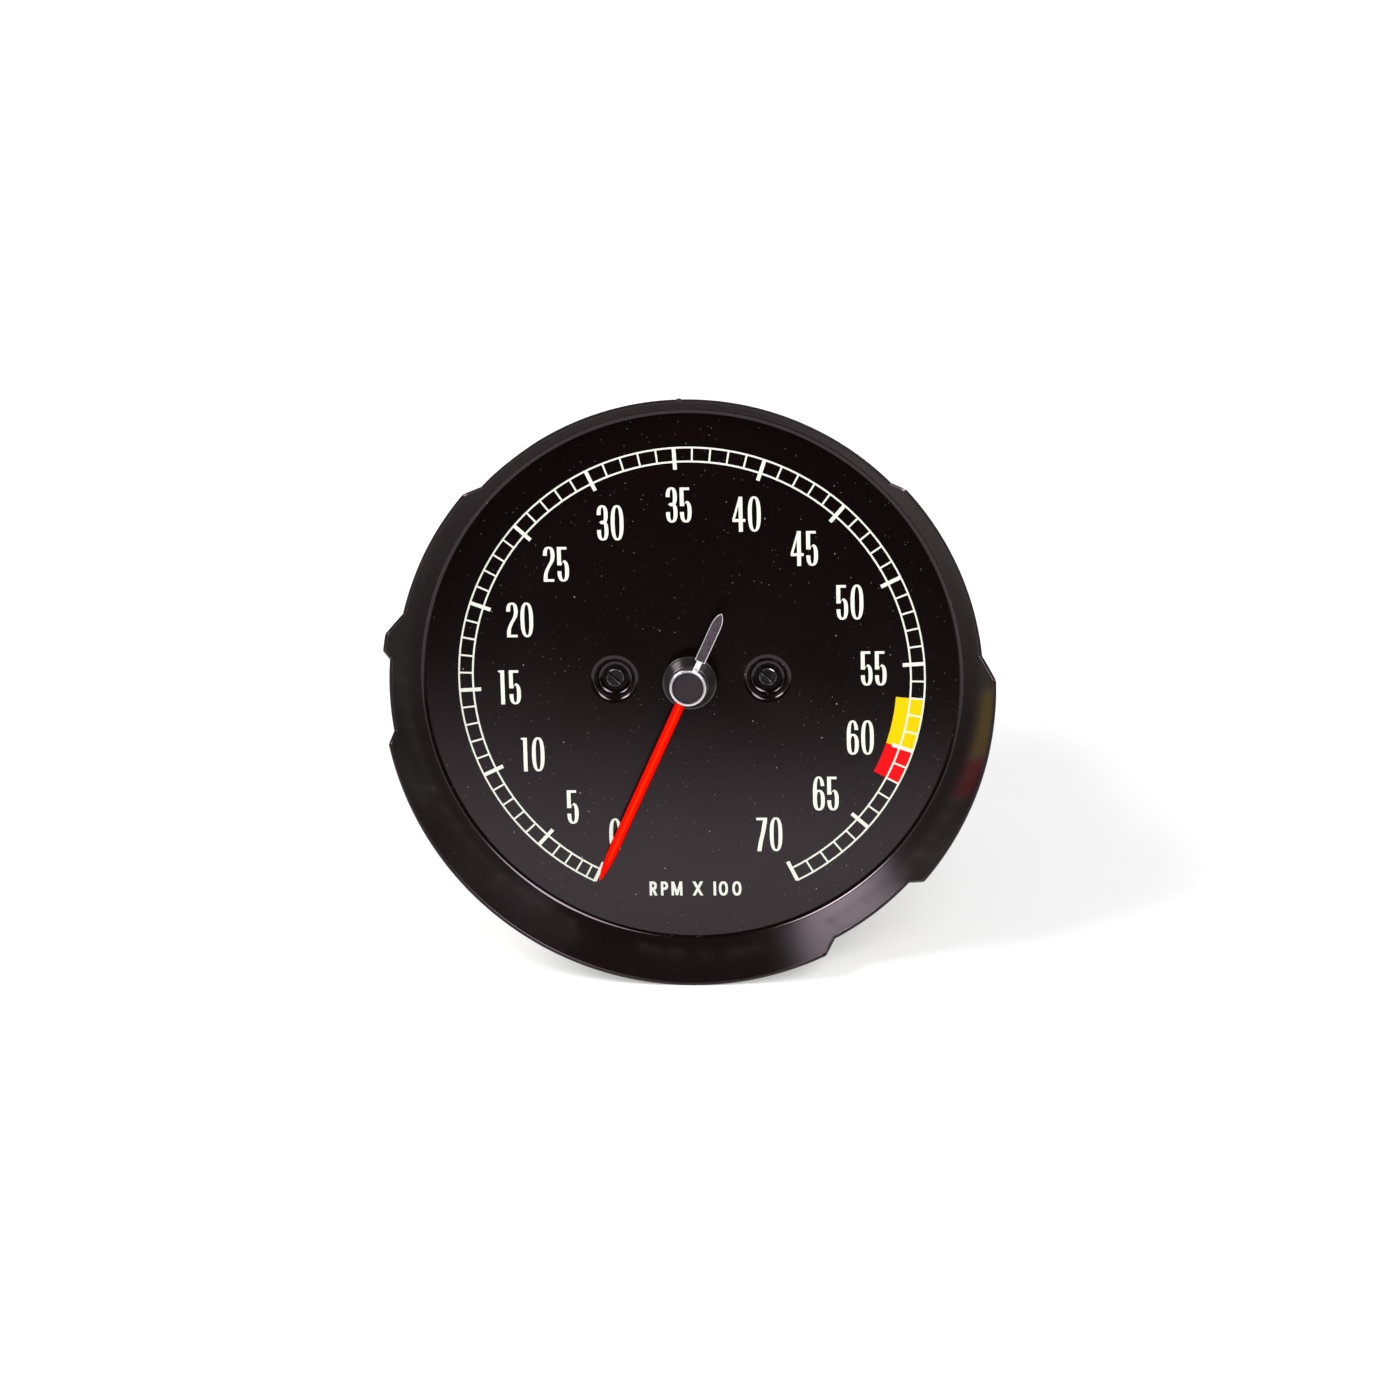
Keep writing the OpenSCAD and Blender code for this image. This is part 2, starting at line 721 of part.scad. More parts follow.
// The red pointer: a ridged blade on a flat eye that the hub ring clamps
module pointer_blade() {
    color([1, 0.08, 0]) stand() at_dial(rest_at) {
        difference() {
            translate([0, 0, tail_top]) cylinder(r = eye_r, h = blade_t);
            translate([0, 0, tail_top - cut_over])
                cylinder(r = spindle_r, h = blade_t + 2 * cut_over);
        }
        intersection() {
            translate([0, 0, tail_top]) linear_extrude(blade_t + ridge_h + cut_over)
                blade_outline(blade_w, ring_r + run_gap, pointer_r, blade_point);
            translate([0, pointer_r + 1, tail_top]) rotate([90, 0, 0])
                linear_extrude(pointer_r + 1)
                    polygon([
                        [-blade_w / 2 - 0.2, 0], [blade_w / 2 + 0.2, 0],
                        [blade_w / 2 + 0.2, blade_t], [0, blade_t + ridge_h],
                        [-blade_w / 2 - 0.2, blade_t]
                    ]);
        }
        translate([-blade_w / 2, spindle_r + 1, tail_top]) cube([blade_w, ring_r - 1.5, blade_t]);
    }
}

// The counterweight tail: its eye lies under the blade's, and a narrow neck leads to it
module pointer_tail() {
    color([0.55, 0.55, 0.56]) stand() at_dial(rest_at + 180) difference() {
        translate([0, 0, hub_top]) linear_extrude(tail_t) {
            circle(r = eye_r);
            translate([-neck_w / 2, 0]) square([neck_w, neck_r + 0.5]);
            blade_outline(tail_w, neck_r, tail_r, tail_point);
        }
        translate([0, 0, hub_top - cut_over]) cylinder(r = spindle_r, h = tail_t + 2 * cut_over);
    }
}

// The black hub: a flared skirt, hollow below, pressed on the spindle
module pointer_hub() {
    skirt = 1.1;
    color([0.06, 0.06, 0.06]) stand() rotate_extrude() polygon([
        [spindle_r, hub_gap + 1.6], [hub_r - skirt - 0.6, hub_gap + 1.6], [hub_r - skirt, hub_gap],
        [hub_r, hub_gap], [hub_r, hub_gap + 0.35], [hub_top_r + 0.25, hub_top - 0.3],
        [hub_top_r, hub_top], [spindle_r, hub_top]
    ]);
}

// The bright ring on top of the pointer, with rounded edges
module hub_ring() {
    soft = 0.25;
    r0 = ring_r - ring_wall;
    color([0.85, 0.85, 0.86]) stand() rotate_extrude() {
        translate([r0, blade_top]) square([ring_wall, ring_h - soft]);
        translate([r0 + soft, ring_top - 2 * soft]) square([ring_wall - 2 * soft, 2 * soft]);
        for (x = [r0 + soft, ring_r - soft]) translate([x, ring_top - soft]) circle(r = soft);
    }
}

// The matt black plug inside the ring
module hub_cap() {
    color([0.13, 0.12, 0.13]) stand() difference() {
        bar(ring_r - ring_wall, cap_sink - ring_top, -blade_top);
        bar(spindle_r, -spindle_top, cut_over - blade_top);
    }
}

// The steel spindle: it carries pointer, spring collet and cup, and ends in a fine pivot
module spindle() {
    color([0.72, 0.72, 0.74]) stand() {
        bar(spindle_r, -spindle_top, cup_boss_z + cup_boss_h);
        bar(pivot_r, cup_boss_z + cup_boss_h, magnet_z + pivot_l);
    }
}

// The arm on the spindle that meets the stop pin at both ends of the sweep
module stop_arm() {
    color([0.8, 0.66, 0.35]) stand() difference() {
        union() {
            bar(2, stop_arm_z - stop_collar_h / 2, stop_arm_z + stop_arm_t);
            at_dial(rest_at) translate([-stop_arm_half, 0, -stop_arm_z - stop_arm_t])
                cube([2 * stop_arm_half, stop_r + 0.9, stop_arm_t]);
        }
        hole(spindle_r, stop_arm_z - stop_collar_h, stop_arm_z + stop_arm_t);
    }
}

module stop_pin() {
    color([0.7, 0.7, 0.72]) stand() at_dial(stop_pin_at) translate([0, stop_r, 0])
        bar(stop_pin_r, stop_arm_z - 0.5, shoulder_z);
}

// Runs children at both ends of the bridge's two screws
module at_bridge_screws() {
    for (s = [-1, 1]) translate([s * dial_screw_x, s * bridge_screw_y, 0]) children();
}

// The brass bridge across the frame's arms, with the front bush and the stop pin
module bridge() {
    color([0.78, 0.62, 0.3]) stand() difference() {
        translate([-arm_out, -bridge_half, -shoulder_z])
            cube([2 * arm_out, 2 * bridge_half, bridge_t]);
        hole(front_bush_r, bridge_z, shoulder_z);
        at_dial(stop_pin_at) translate([0, stop_r, 0]) hole(stop_pin_r, bridge_z, shoulder_z);
        for (x = [-dial_screw_x, dial_screw_x]) translate([x, 0, 0])
            hole(post_r + hole_gap, bridge_z, shoulder_z);
        at_bridge_screws() hole(bridge_thread_r + hole_gap, bridge_z, shoulder_z);
    }
}

bridge_screw_l = bridge_t + 4;
module bridge_screws() {
    color([0.75, 0.75, 0.77]) stand() at_bridge_screws() translate([0, 0, -bridge_z])
        slotted_screw(bridge_head_r, bridge_head_h, bridge_thread_r, bridge_screw_l, 20);
}

// The front bush: the spindle runs in it, and the regulator's ring turns on its lipped tail
module front_bush() {
    color([0.82, 0.66, 0.3]) stand() difference() {
        union() {
            bar(front_bush_r + 0.8, bush_nose_z, bridge_z);
            bar(front_bush_r, bridge_z, front_bush_z);
            bar(front_bush_r + 0.5, front_bush_z - bush_lip_t, front_bush_z);
        }
        hole(spindle_r + run_gap, bush_nose_z, front_bush_z);
    }
}

// The regulator: a friction ring on the bush with a lever that sets the spring's zero
module regulator_arm() {
    ring_out = front_bush_r + 2;
    lever_w = 2.2;
    lever_tab = 3;
    color([0.7, 0.7, 0.72]) stand() difference() {
        union() {
            bar(ring_out, lever_z, lever_z + lever_t);
            translate([-lever_w / 2, 0, -lever_z - lever_t]) cube([lever_w, lever_r, lever_t]);
            translate([-lever_w / 2, lever_r - lever_t, -lever_z - lever_t])
                cube([lever_w, lever_t, lever_tab]);
        }
        hole(front_bush_r + run_gap, lever_z, lever_z + lever_t);
    }
}

// The stud on the lever, slit to take the spring's outer end
stud_block = 1.6;
slit_gap = 0.1;
module hairspring_stud() {
    z1 = spring_z + spring_w + 0.4;
    color([0.8, 0.66, 0.35]) stand() difference() {
        translate([-stud_block / 2, spring_r - stud_block / 2, -z1])
            cube([stud_block, stud_block, z1 - lever_z - lever_t]);
        translate([-stud_block, spring_r - spring_t / 2 - slit_gap, -spring_z - spring_w - slit_gap])
            cube([2 * stud_block, spring_t + 2 * slit_gap, spring_w + 2 * slit_gap]);
    }
}

// The hairspring: one flat strip wound in a spiral, ending in the stud
function spiral(r, i) = let (a = 90 + 360 * i / spring_steps) [r * cos(a), r * sin(a)];
module hairspring() {
    last = spring_turns * spring_steps;
    side_r = [for (i = [0:last]) spring_r - spring_pitch * i / spring_steps];
    outer = [for (i = [0:last]) spiral(side_r[i] + spring_t / 2, i)];
    inner = [for (i = [last:-1:0]) spiral(side_r[i] - spring_t / 2, i)];
    tail = [[0.5, spring_r - spring_t / 2], [0.5, spring_r + spring_t / 2]];
    color([0.35, 0.42, 0.6]) stand() translate([0, 0, -spring_z - spring_w])
        linear_extrude(spring_w) polygon(concat(outer, inner, tail));
}

module spring_collet() {
    color([0.8, 0.66, 0.35]) stand() difference() {
        bar(collet_r, collet_z, collet_z + collet_h);
        hole(spindle_r, collet_z, collet_z + collet_h);
    }
}

// The aluminium cup that the turning magnet drags round
module speed_cup() {
    color([0.82, 0.83, 0.84]) stand() difference() {
        bar(cup_r, cup_z, cup_back);
        bar(cup_in_r, cup_z + cup_wall, cup_back + cut_over);
        hole(cup_boss_r, cup_z, cup_z + cup_wall);
    }
}

module cup_boss() {
    color([0.8, 0.66, 0.35]) stand() difference() {
        bar(cup_boss_r, cup_boss_z, cup_boss_z + cup_boss_h);
        hole(spindle_r, cup_boss_z, cup_boss_z + cup_boss_h);
    }
}

module magnet() {
    color([0.32, 0.32, 0.34]) stand() difference() {
        bar(magnet_r, magnet_z, magnet_back);
        hole(carrier_r, magnet_z, magnet_back);
    }
}

// The brass carrier: it is pressed on the shaft, and the magnet sits on it
module magnet_carrier() {
    color([0.8, 0.66, 0.35]) stand() difference() {
        union() {
            bar(carrier_r, magnet_z, comp_back);
            bar(carrier_flange_r, comp_back, carrier_back);
        }
        hole(shaft_nose_r, magnet_z, carrier_back);
    }
}

// The nickel-iron ring behind the magnet that corrects for warmth
module compensator_ring() {
    color([0.6, 0.6, 0.6]) stand() difference() {
        bar(magnet_r - 0.8, magnet_back, comp_back);
        hole(carrier_r, magnet_back, comp_back);
    }
}

// The bearing in the shaft's front end for the spindle's pivot
module pivot_jewel() {
    color([0.7, 0.1, 0.2]) stand() difference() {
        bar(jewel_r, magnet_z, magnet_z + jewel_h);
        bar(pivot_r + run_gap, magnet_z - cut_over, magnet_z + pivot_l + 0.1);
    }
}

// The drive shaft: magnet on its front end, square socket for the cable in its back end
module drive_shaft() {
    color([0.66, 0.66, 0.68]) stand() difference() {
        union() {
            bar(shaft_nose_r, magnet_z, boss_front);
            bar(shaft_r, boss_front, shaft_back);
        }
        bar(jewel_r, magnet_z - cut_over, magnet_z + jewel_h);
        translate([-socket_w / 2, -socket_w / 2, -shaft_back - cut_over])
            cube([socket_w, socket_w, socket_l + cut_over]);
    }
}

// Thrust washers: one behind the magnet carrier, one behind the bush
module thrust_washers() {
    color([0.55, 0.4, 0.22]) stand() {
        difference() {
            bar(bush_r, carrier_back + washer_gap, carrier_back + washer_gap + washer_t);
            hole(shaft_nose_r + run_gap, carrier_back, carrier_back + washer_t);
        }
        difference() {
            bar(bush_r, bush_back + washer_gap, bush_back + washer_gap + washer_t);
            hole(shaft_r + run_gap, bush_back, bush_back + washer_t);
        }
    }
}

// The spring clip that keeps the shaft in its bush
module shaft_clip() {
    color([0.3, 0.3, 0.32]) stand() difference() {
        bar(bush_r + 0.6, clip_z, clip_z + clip_t);
        hole(shaft_r, clip_z, clip_z + clip_t);
    }
}

module shaft_bush() {
    color([0.6, 0.42, 0.2]) stand() difference() {
        bar(bush_r, boss_front, bush_back);
        hole(shaft_r + run_gap, boss_front, bush_back);
    }
}

// The felt wick that feeds oil to the bush through the side of the boss
wick_r = 1.7;
wick_z = 46;
module oil_wick() {
    color([0.75, 0.7, 0.58]) stand() translate([0, 0, -wick_z]) rotate([-90, 0, 0])
        translate([0, 0, bush_r + 0.2]) cylinder(r = wick_r, h = boss_r - bush_r + 0.8);
}

// The steel field cup that closes the magnet's field round the speed cup
module field_cup() {
    front = cup_z + 1.5;
    color([0.5, 0.5, 0.52]) stand() difference() {
        bar(field_r, front, base_z);
        bar(field_in_r, front - cut_over, base_z - field_t);
        hole(spigot_r + run_gap, front, base_z);
    }
}

// The die-cast frame: base, two arms with dial posts, two rear legs and the shaft boss
module frame_arm(s) {
    x = s > 0 ? arm_in : -arm_out;
    translate([x, -bridge_half, -base_z]) cube([arm_t, 2 * bridge_half, base_z - shoulder_z]);
    translate([s * dial_screw_x, 0, 0]) bar(post_r, post_z, shoulder_z);
}

module frame() {
    color([0.62, 0.63, 0.64]) stand() difference() {
        union() {
            translate([-base_out, -base_half, -base_back])
                cube([2 * base_out, 2 * base_half, base_t]);
            for (s = [-1, 1]) {
                frame_arm(s);
                translate([s * leg_x, 0, 0]) bar(leg_r, base_back, case_inside);
            }
            bar(spigot_r, boss_front, base_z);
            bar(boss_r, base_back, case_inside);
        }
        hole(bush_r, boss_front, bush_back);
        hole(shank_r, bush_back + cut_over, case_inside);
        translate([0, 0, -wick_z]) rotate([-90, 0, 0]) translate([0, 0, bush_r - cut_over])
            cylinder(r = wick_r, h = boss_r);
        for (s = [-1, 1]) {
            translate([s * dial_screw_x, 0, 0])
                hole(dial_thread_r, post_z, dimple_depth + dial_thread_l - 0.8);
            translate([s * leg_x, 0, 0])
                hole(case_thread_r, case_inside - case_screw_l, case_inside);
        }
        at_bridge_screws() hole(bridge_thread_r, shoulder_z, bridge_z + bridge_screw_l - 0.8);
    }
}

// The threaded ferrule: its shank screws into the frame and its shoulder clamps the case.
// The cable's nut screws on it, and the cable's nose goes in its bore.
module cable_ferrule() {
    color([0.76, 0.74, 0.68]) stand() difference() {
        union() {
            bar(shank_r, ferrule_z, case_depth);
            bar(ferrule_r, case_depth, ferrule_back);
        }
        hole(shaft_r + 2 * free_gap, ferrule_z, nose_z);
        bar(nose_r, nose_z, ferrule_back + cut_over);
    }
}

// The drawn steel case: its mouth meets the dish's back, and its floor meets the legs
module rear_case() {
    in_r = case_r - case_t;
    in_edge = max(case_edge_r - case_t, 0.5);
    color([0.72, 0.73, 0.7]) stand() difference() {
        rotate_extrude($fn = 144) difference() {
            union() {
                translate([0, -edge_back]) square([case_r, edge_back - dish_t]);
                translate([0, -case_depth]) square([edge_down, case_edge_r + cut_over]);
                translate([edge_down, -edge_back]) circle(r = case_edge_r);
            }
            translate([0, in_edge - case_inside]) square([in_r, case_inside]);
            translate([0, -case_inside]) square([in_r - in_edge, case_edge_r]);
            translate([in_r - in_edge, in_edge - case_inside]) circle(r = in_edge);
        }
        hole(shank_r + hole_gap, case_inside, case_depth);
        for (s = [-1, 1]) translate([s * leg_x, 0, 0])
            hole(case_thread_r + hole_gap, case_inside, case_depth);
        at_studs() hole(stud_neck_r, case_inside, case_depth);
    }
}

case_screw_l = 8;
module case_screws() {
    color([0.75, 0.75, 0.77]) stand() for (s = [-1, 1])
        translate([s * leg_x, 0, -case_depth]) rotate([180, 0, 0])
            slotted_screw(case_head_r, case_head_h, case_thread_r, case_screw_l, 35 + 50 * s);
}

// Runs children at every mounting stud
module at_studs() {
    for (i = [0:stud_count - 1]) at_dial(360 * i / stud_count)
        translate([0, stud_pcd / 2, 0]) children();
}

// Mounting studs: each neck goes through the case's floor and is riveted over inside
module mounting_studs() {
    color([0.78, 0.78, 0.76]) stand() at_studs() {
        bar(stud_neck_r + 1.6, case_inside - 1, case_inside);
        bar(stud_neck_r, case_inside, case_depth);
        bar(stud_r, case_depth, stud_back);
    }
}

face_dish();
dial_scale();
dial_numerals();
dial_legend();
caution_band();
redline_band();
dial_screws();
pointer_blade();
pointer_tail();
pointer_hub();
hub_ring();
hub_cap();
spindle();
stop_arm();
stop_pin();
bridge();
bridge_screws();
front_bush();
regulator_arm();
hairspring_stud();
hairspring();
spring_collet();
speed_cup();
cup_boss();
magnet();
magnet_carrier();
compensator_ring();
pivot_jewel();
drive_shaft();
thrust_washers();
shaft_clip();
shaft_bush();
oil_wick();
field_cup();
frame();
cable_ferrule();
rear_case();
case_screws();
mounting_studs();
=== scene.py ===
import json
import math

import bmesh
import bpy
from mathutils import Matrix, Vector


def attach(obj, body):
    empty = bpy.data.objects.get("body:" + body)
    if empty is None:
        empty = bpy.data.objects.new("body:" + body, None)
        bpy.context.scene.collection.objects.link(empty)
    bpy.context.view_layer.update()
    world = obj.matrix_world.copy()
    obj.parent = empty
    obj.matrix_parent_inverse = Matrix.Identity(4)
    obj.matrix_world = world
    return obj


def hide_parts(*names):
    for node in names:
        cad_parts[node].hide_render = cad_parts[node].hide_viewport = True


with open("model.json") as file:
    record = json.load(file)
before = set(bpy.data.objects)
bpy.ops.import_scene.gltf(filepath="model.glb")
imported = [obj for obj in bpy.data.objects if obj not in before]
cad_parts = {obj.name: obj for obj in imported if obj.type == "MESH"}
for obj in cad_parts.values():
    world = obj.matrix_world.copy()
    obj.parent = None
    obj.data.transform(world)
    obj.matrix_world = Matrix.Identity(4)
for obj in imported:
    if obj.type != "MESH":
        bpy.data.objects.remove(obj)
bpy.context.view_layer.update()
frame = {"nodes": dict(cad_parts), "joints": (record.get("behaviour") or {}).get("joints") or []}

# The dial's own axes come from the pointer's joint: X to the right, Y to 12 o'clock, Z out of
# the dial. Every piece is drawn in them, in millimetres, and is then set into the leaning stance.
MM = 0.001
sweep = next(j for j in frame["joints"] if j["name"] == "pointer_sweep")
dial_out = -Vector(sweep["axis"]).normalized()
dial_right = Vector((1, 0, 0))
dial_turn = Matrix((dial_right, dial_out.cross(dial_right), dial_out)).transposed().to_4x4()
dial_axes = Matrix.Translation(sweep["pos_m"]) @ dial_turn @ Matrix.Scale(MM, 4)

# The camera stands a little right of the dial and above it, as the photographer's did, and looks
# at a point just below the dial's middle. Its place was solved from the printed scale.
camera_at = dial_axes @ Vector((61.1, 180.3, 804.9))
camera_aim = dial_axes @ Vector((2.17, -5.45, 0))
camera_roll = math.radians(-2.3)
camera = bpy.data.objects.new("camera", bpy.data.cameras.new("camera"))
bpy.context.collection.objects.link(camera)
camera.data.lens = 84.56
camera.data.sensor_width = 36
straight = (camera_aim - camera_at).to_track_quat("-Z", "Y").to_matrix()
camera.location = camera_at
camera.rotation_euler = (straight @ Matrix.Rotation(camera_roll, 3, "Z")).to_euler()
bpy.context.scene.camera = camera

# The studio is a white table and two softboxes, high on the left and on the right. Black cards
# overhead and in front keep the enamel dark, and the table shows in it below the front card.
bpy.context.scene.view_settings.view_transform = "Standard"
TABLE_SIZE = 12
# the table shines for the camera: less near the object, where its shadow lies, than further off
NEAR, FAR, NEAR_SHINE, FAR_SHINE = 0.15, 1.0, 0.28, 0.6
FLAG_SIZE, FLAG_OVER_H, FLAG_FRONT_H = 9, 3.4, 4
FLAG_FRONT_AT, FLAG_FRONT_TILT = (-0.23, -3.2, 2.032), math.radians(10)
WORLD_LIGHT, WORLD_SEEN = 0.5, 1


def card(name, width, depth, at, facing, material):
    """A flat card of the studio, facing a point."""
    bpy.ops.object.select_all(action="DESELECT")
    bpy.ops.mesh.primitive_plane_add(size=1)
    plane = bpy.context.object
    plane.name = name
    turn = (Vector(facing) - Vector(at)).to_track_quat("Z", "Y").to_matrix().to_4x4()
    plane.data.transform(Matrix.Translation(at) @ turn @ Matrix.Diagonal((width, depth, 1, 1)))
    plane.data.materials.append(material)
    return plane


def ramp(tree, value, low, high, to_low=0.0, to_high=1.0):
    """A value brought from one range to another, and held within it."""
    node = tree.nodes.new("ShaderNodeMapRange")
    node.inputs["From Min"].default_value = low
    node.inputs["From Max"].default_value = high
    node.inputs["To Min"].default_value = to_low
    node.inputs["To Max"].default_value = to_high
    tree.links.new(value, node.inputs["Value"])
    return node.outputs["Result"]


def maths(tree, operation, first, second):
    """The result of an operation on two values, each a number or a socket."""
    node = tree.nodes.new("ShaderNodeMath")
    node.operation = operation
    for socket, value in zip(node.inputs, (first, second)):
        if isinstance(value, (int, float)):
            socket.default_value = value
        else:
            tree.links.new(value, socket)
    return node.outputs[0]


def far_from(tree, point):
    """The distance of the shaded place from a point, in metres."""
    gap = tree.nodes.new("ShaderNodeVectorMath")
    gap.operation = "DISTANCE"
    gap.inputs[1].default_value = point
    tree.links.new(tree.nodes.new("ShaderNodeTexCoord").outputs["Object"], gap.inputs[0])
    return gap.outputs["Value"]


def seen_directly(tree):
    """1 for rays from the camera and for mirrored and see-through ones, and 0 for the others."""
    path = tree.nodes.new("ShaderNodeLightPath").outputs
    mirrored = maths(tree, "MAXIMUM", path["Is Glossy Ray"], path["Is Transmission Ray"])
    return maths(tree, "MAXIMUM", path["Is Camera Ray"], mirrored)


table_white = bpy.data.materials.new("table_white")
table_white.use_nodes = True
tree = table_white.node_tree
paint = tree.nodes["Principled BSDF"]
paint.inputs["Base Color"].default_value = (0.8, 0.79, 0.8, 1)
paint.inputs["Roughness"].default_value = 0.9
paint.inputs["Specular IOR Level"].default_value = 0
paint.inputs["Emission Color"].default_value = (1, 1, 1, 1)
lift = ramp(tree, far_from(tree, (0, 0, 0)), NEAR, FAR, NEAR_SHINE, FAR_SHINE)
lift = maths(tree, "MULTIPLY", lift, seen_directly(tree))
tree.links.new(lift, paint.inputs["Emission Strength"])
card("table", TABLE_SIZE, TABLE_SIZE, (0, 0, 0), (0, 0, 1), table_white)

flag_black = bpy.data.materials.new("flag_black")
flag_black.use_nodes = True
paint = flag_black.node_tree.nodes["Principled BSDF"]
paint.inputs["Base Color"].default_value = (0.006, 0.004, 0.004, 1)
paint.inputs["Roughness"].default_value = 1
paint.inputs["Specular IOR Level"].default_value = 0
flags = [card("flag_over", FLAG_SIZE, FLAG_SIZE, (0, 0, FLAG_OVER_H), (0, 0, 0), flag_black)]
flag_front = card("flag_front", FLAG_SIZE, FLAG_FRONT_H, (0, 0, 0), (0, 1, 0), flag_black)
flag_tilt = Matrix.Rotation(FLAG_FRONT_TILT, 4, "Y")
flag_front.data.transform(Matrix.Translation(FLAG_FRONT_AT) @ flag_tilt)
flags.append(flag_front)

# each softbox: its direction, distance, width, height, lamp power and the glow of its cloth
SOFTBOXES = (
    ("softbox_left", (-0.63, -0.28, 0.725), 1.3, 0.6, 0.6, 11.5, 30),
    ("softbox_right", (0.45, -0.52, 0.72), 1.5, 1.15, 0.7, 11.0, 15),
)
# the cloth glows most within the hot spot, and a tenth as much at its edge
CLOTH_BEHIND, HOT_SPOT, CLOTH_EDGE, EDGE_GLOW = 0.02, 0.1, 0.56, 0.1
centre = Vector((0, 0, 0.07))
for name, toward, away, width, height, watts, glow in SOFTBOXES:
    place = Vector(toward).normalized() * away + centre
    lamp = bpy.data.objects.new(name, bpy.data.lights.new(name, "AREA"))
    bpy.context.collection.objects.link(lamp)
    lamp.data.shape = "RECTANGLE"
    lamp.data.size = width
    lamp.data.size_y = height
    lamp.data.energy = watts
    lamp.location = place
    lamp.rotation_euler = (centre - place).to_track_quat("-Z", "Y").to_euler()
    behind = Vector(toward).normalized() * (away + CLOTH_BEHIND) + centre
    cloth = bpy.data.materials.new(name + "_cloth")
    cloth.use_nodes = True
    tree = cloth.node_tree
    paint = tree.nodes["Principled BSDF"]
    paint.inputs["Base Color"].default_value = (0, 0, 0, 1)
    paint.inputs["Emission Color"].default_value = (1, 0.94, 1, 1)
    shine = ramp(
        tree, far_from(tree, behind), HOT_SPOT * width, CLOTH_EDGE * width, glow, EDGE_GLOW * glow)
    tree.links.new(shine, paint.inputs["Emission Strength"])
    flags.append(card(name + "_glow", width, height, behind, centre, cloth))
for flag in flags:
    flag.visible_camera = False
    flag.visible_diffuse = False
    flag.visible_shadow = False

world = bpy.data.worlds.new("studio")
bpy.context.scene.world = world
world.use_nodes = True
tree = world.node_tree
ground = tree.nodes["Background"]
ground.inputs["Color"].default_value = (1, 1, 1, 1)
level = ramp(tree, seen_directly(tree), 0, 1, WORLD_LIGHT, WORLD_SEEN)
tree.links.new(level, ground.inputs["Strength"])

# The dish is one pressing of 0.75 mm sheet steel, primed pale and enamelled black in front. A
# flat dial turns through a tight bend into a flared wall, and the wall's rim is cut down in
# places to clear the cluster. Two dimples are pressed in for the screws that hold it.
SHEET = 0.75
FLARE = math.radians(28)
RIM_R, RIM_H = 76.3, 13.8
DIAL_R = RIM_R - RIM_H * math.tan(FLARE) - SHEET / math.cos(FLARE)
BEND_R = 1.45
SPINDLE_HOLE_R = 3.0
DIMPLE_X, DIMPLE_R, DIMPLE_DEEP = 19.3, 4.75, 2.9
DIMPLE_LIP, DIMPLE_FILLET = 1.3, 1.3
SCREW_HOLE_R = 1.62
# the flat strips beside the bends, from which the dial's face is filled
FLAT_EDGE, DIMPLE_FLAT = 0.25, 0.2
# the rim's points nearest to a cut's ends, by just over half a step in degrees, move to them
RIM_STEPS, WALL_ROWS, HALF_STEP = 720, 9, 0.251
CUT_R, CUT_SLOPE = RIM_R - 3, math.tan(math.radians(48))
# each cut in the rim: start and end in degrees clockwise from 12 o'clock, and the height left
RIM_CUTS = (
    (-45.3, -1.6, 4.5), (-1.6, -0.2, 5.3), (-0.2, 45.3, 4.5), (-75, -45.3, 8.6),
    (45.3, 84.3, 8.2), (-98, -84, 11), (132.8, 151.2, 10.1),
)
# the rim's edges are above the first height and the holes' edges below the second; the wall has
# its own enamel from this share of its foot's height upwards
RIM_FROM_H, HOLES_TO_H, MID_SHEET, WALL_SHARE = 3, 0.1, 0.5, 0.7
CORNER_BEVEL, RIM_BEVEL, HOLE_BEVEL = 0.12, 0.14, 0.1
# points closer than this are one point, and edges shorter than the next are slivers
WELD, SLIVER, TOUCH = 0.0008, 0.002, 0.01
SHARP = math.radians(50)


def deselect():
    bpy.ops.object.select_all(action="DESELECT")


def select_only(piece):
    deselect()
    piece.select_set(True)
    bpy.context.view_layer.objects.active = piece


def drawn(name, outline):
    """A line drawn point by point, as (across, up) in the plane of the gauge's axis."""
    deselect()
    bpy.ops.mesh.primitive_plane_add(size=1)
    piece = bpy.context.object
    piece.name = name
    bpy.ops.object.mode_set(mode="EDIT")
    bpy.ops.mesh.merge(type="CENTER")
    bpy.ops.transform.translate(value=outline[0])
    for last, point in zip(outline, outline[1:]):
        step = [b - a for a, b in zip(last, point)]
        bpy.ops.mesh.extrude_vertices_move(TRANSFORM_OT_translate={"value": step})
    bpy.ops.mesh.select_all(action="SELECT")
    return piece


def turned(name, outline, steps):
    """A piece turned about the gauge's axis, from its outline of (radius, height)."""
    piece = drawn(name, [(r, 0, z) for r, z in outline])
    bpy.ops.mesh.spin(steps=steps, angle=2 * math.pi, center=(0, 0, 0), axis=(0, 0, 1))
    bpy.ops.mesh.select_all(action="SELECT")
    bpy.ops.mesh.remove_doubles(threshold=WELD)
    bpy.ops.mesh.normals_make_consistent(inside=False)
    bpy.ops.object.mode_set(mode="OBJECT")
    return piece


def arc(across, up, radius, first, last, steps):
    """Points of an arc round a centre, between two angles in degrees."""
    angles = [math.radians(first + (last - first) * i / steps) for i in range(steps + 1)]
    return [(across + radius * math.cos(a), up + radius * math.sin(a)) for a in angles]


def join_as(name, pieces):
    select_only(pieces[0])
    for piece in pieces:
        piece.select_set(True)
    bpy.ops.object.join()
    pieces[0].name = name
    return pieces[0]


def copy_of(piece, name):
    """A copy of a piece, with a mesh of its own."""
    copy = piece.copy()
    copy.data = piece.data.copy()
    copy.name = name
    bpy.context.collection.objects.link(copy)
    return copy


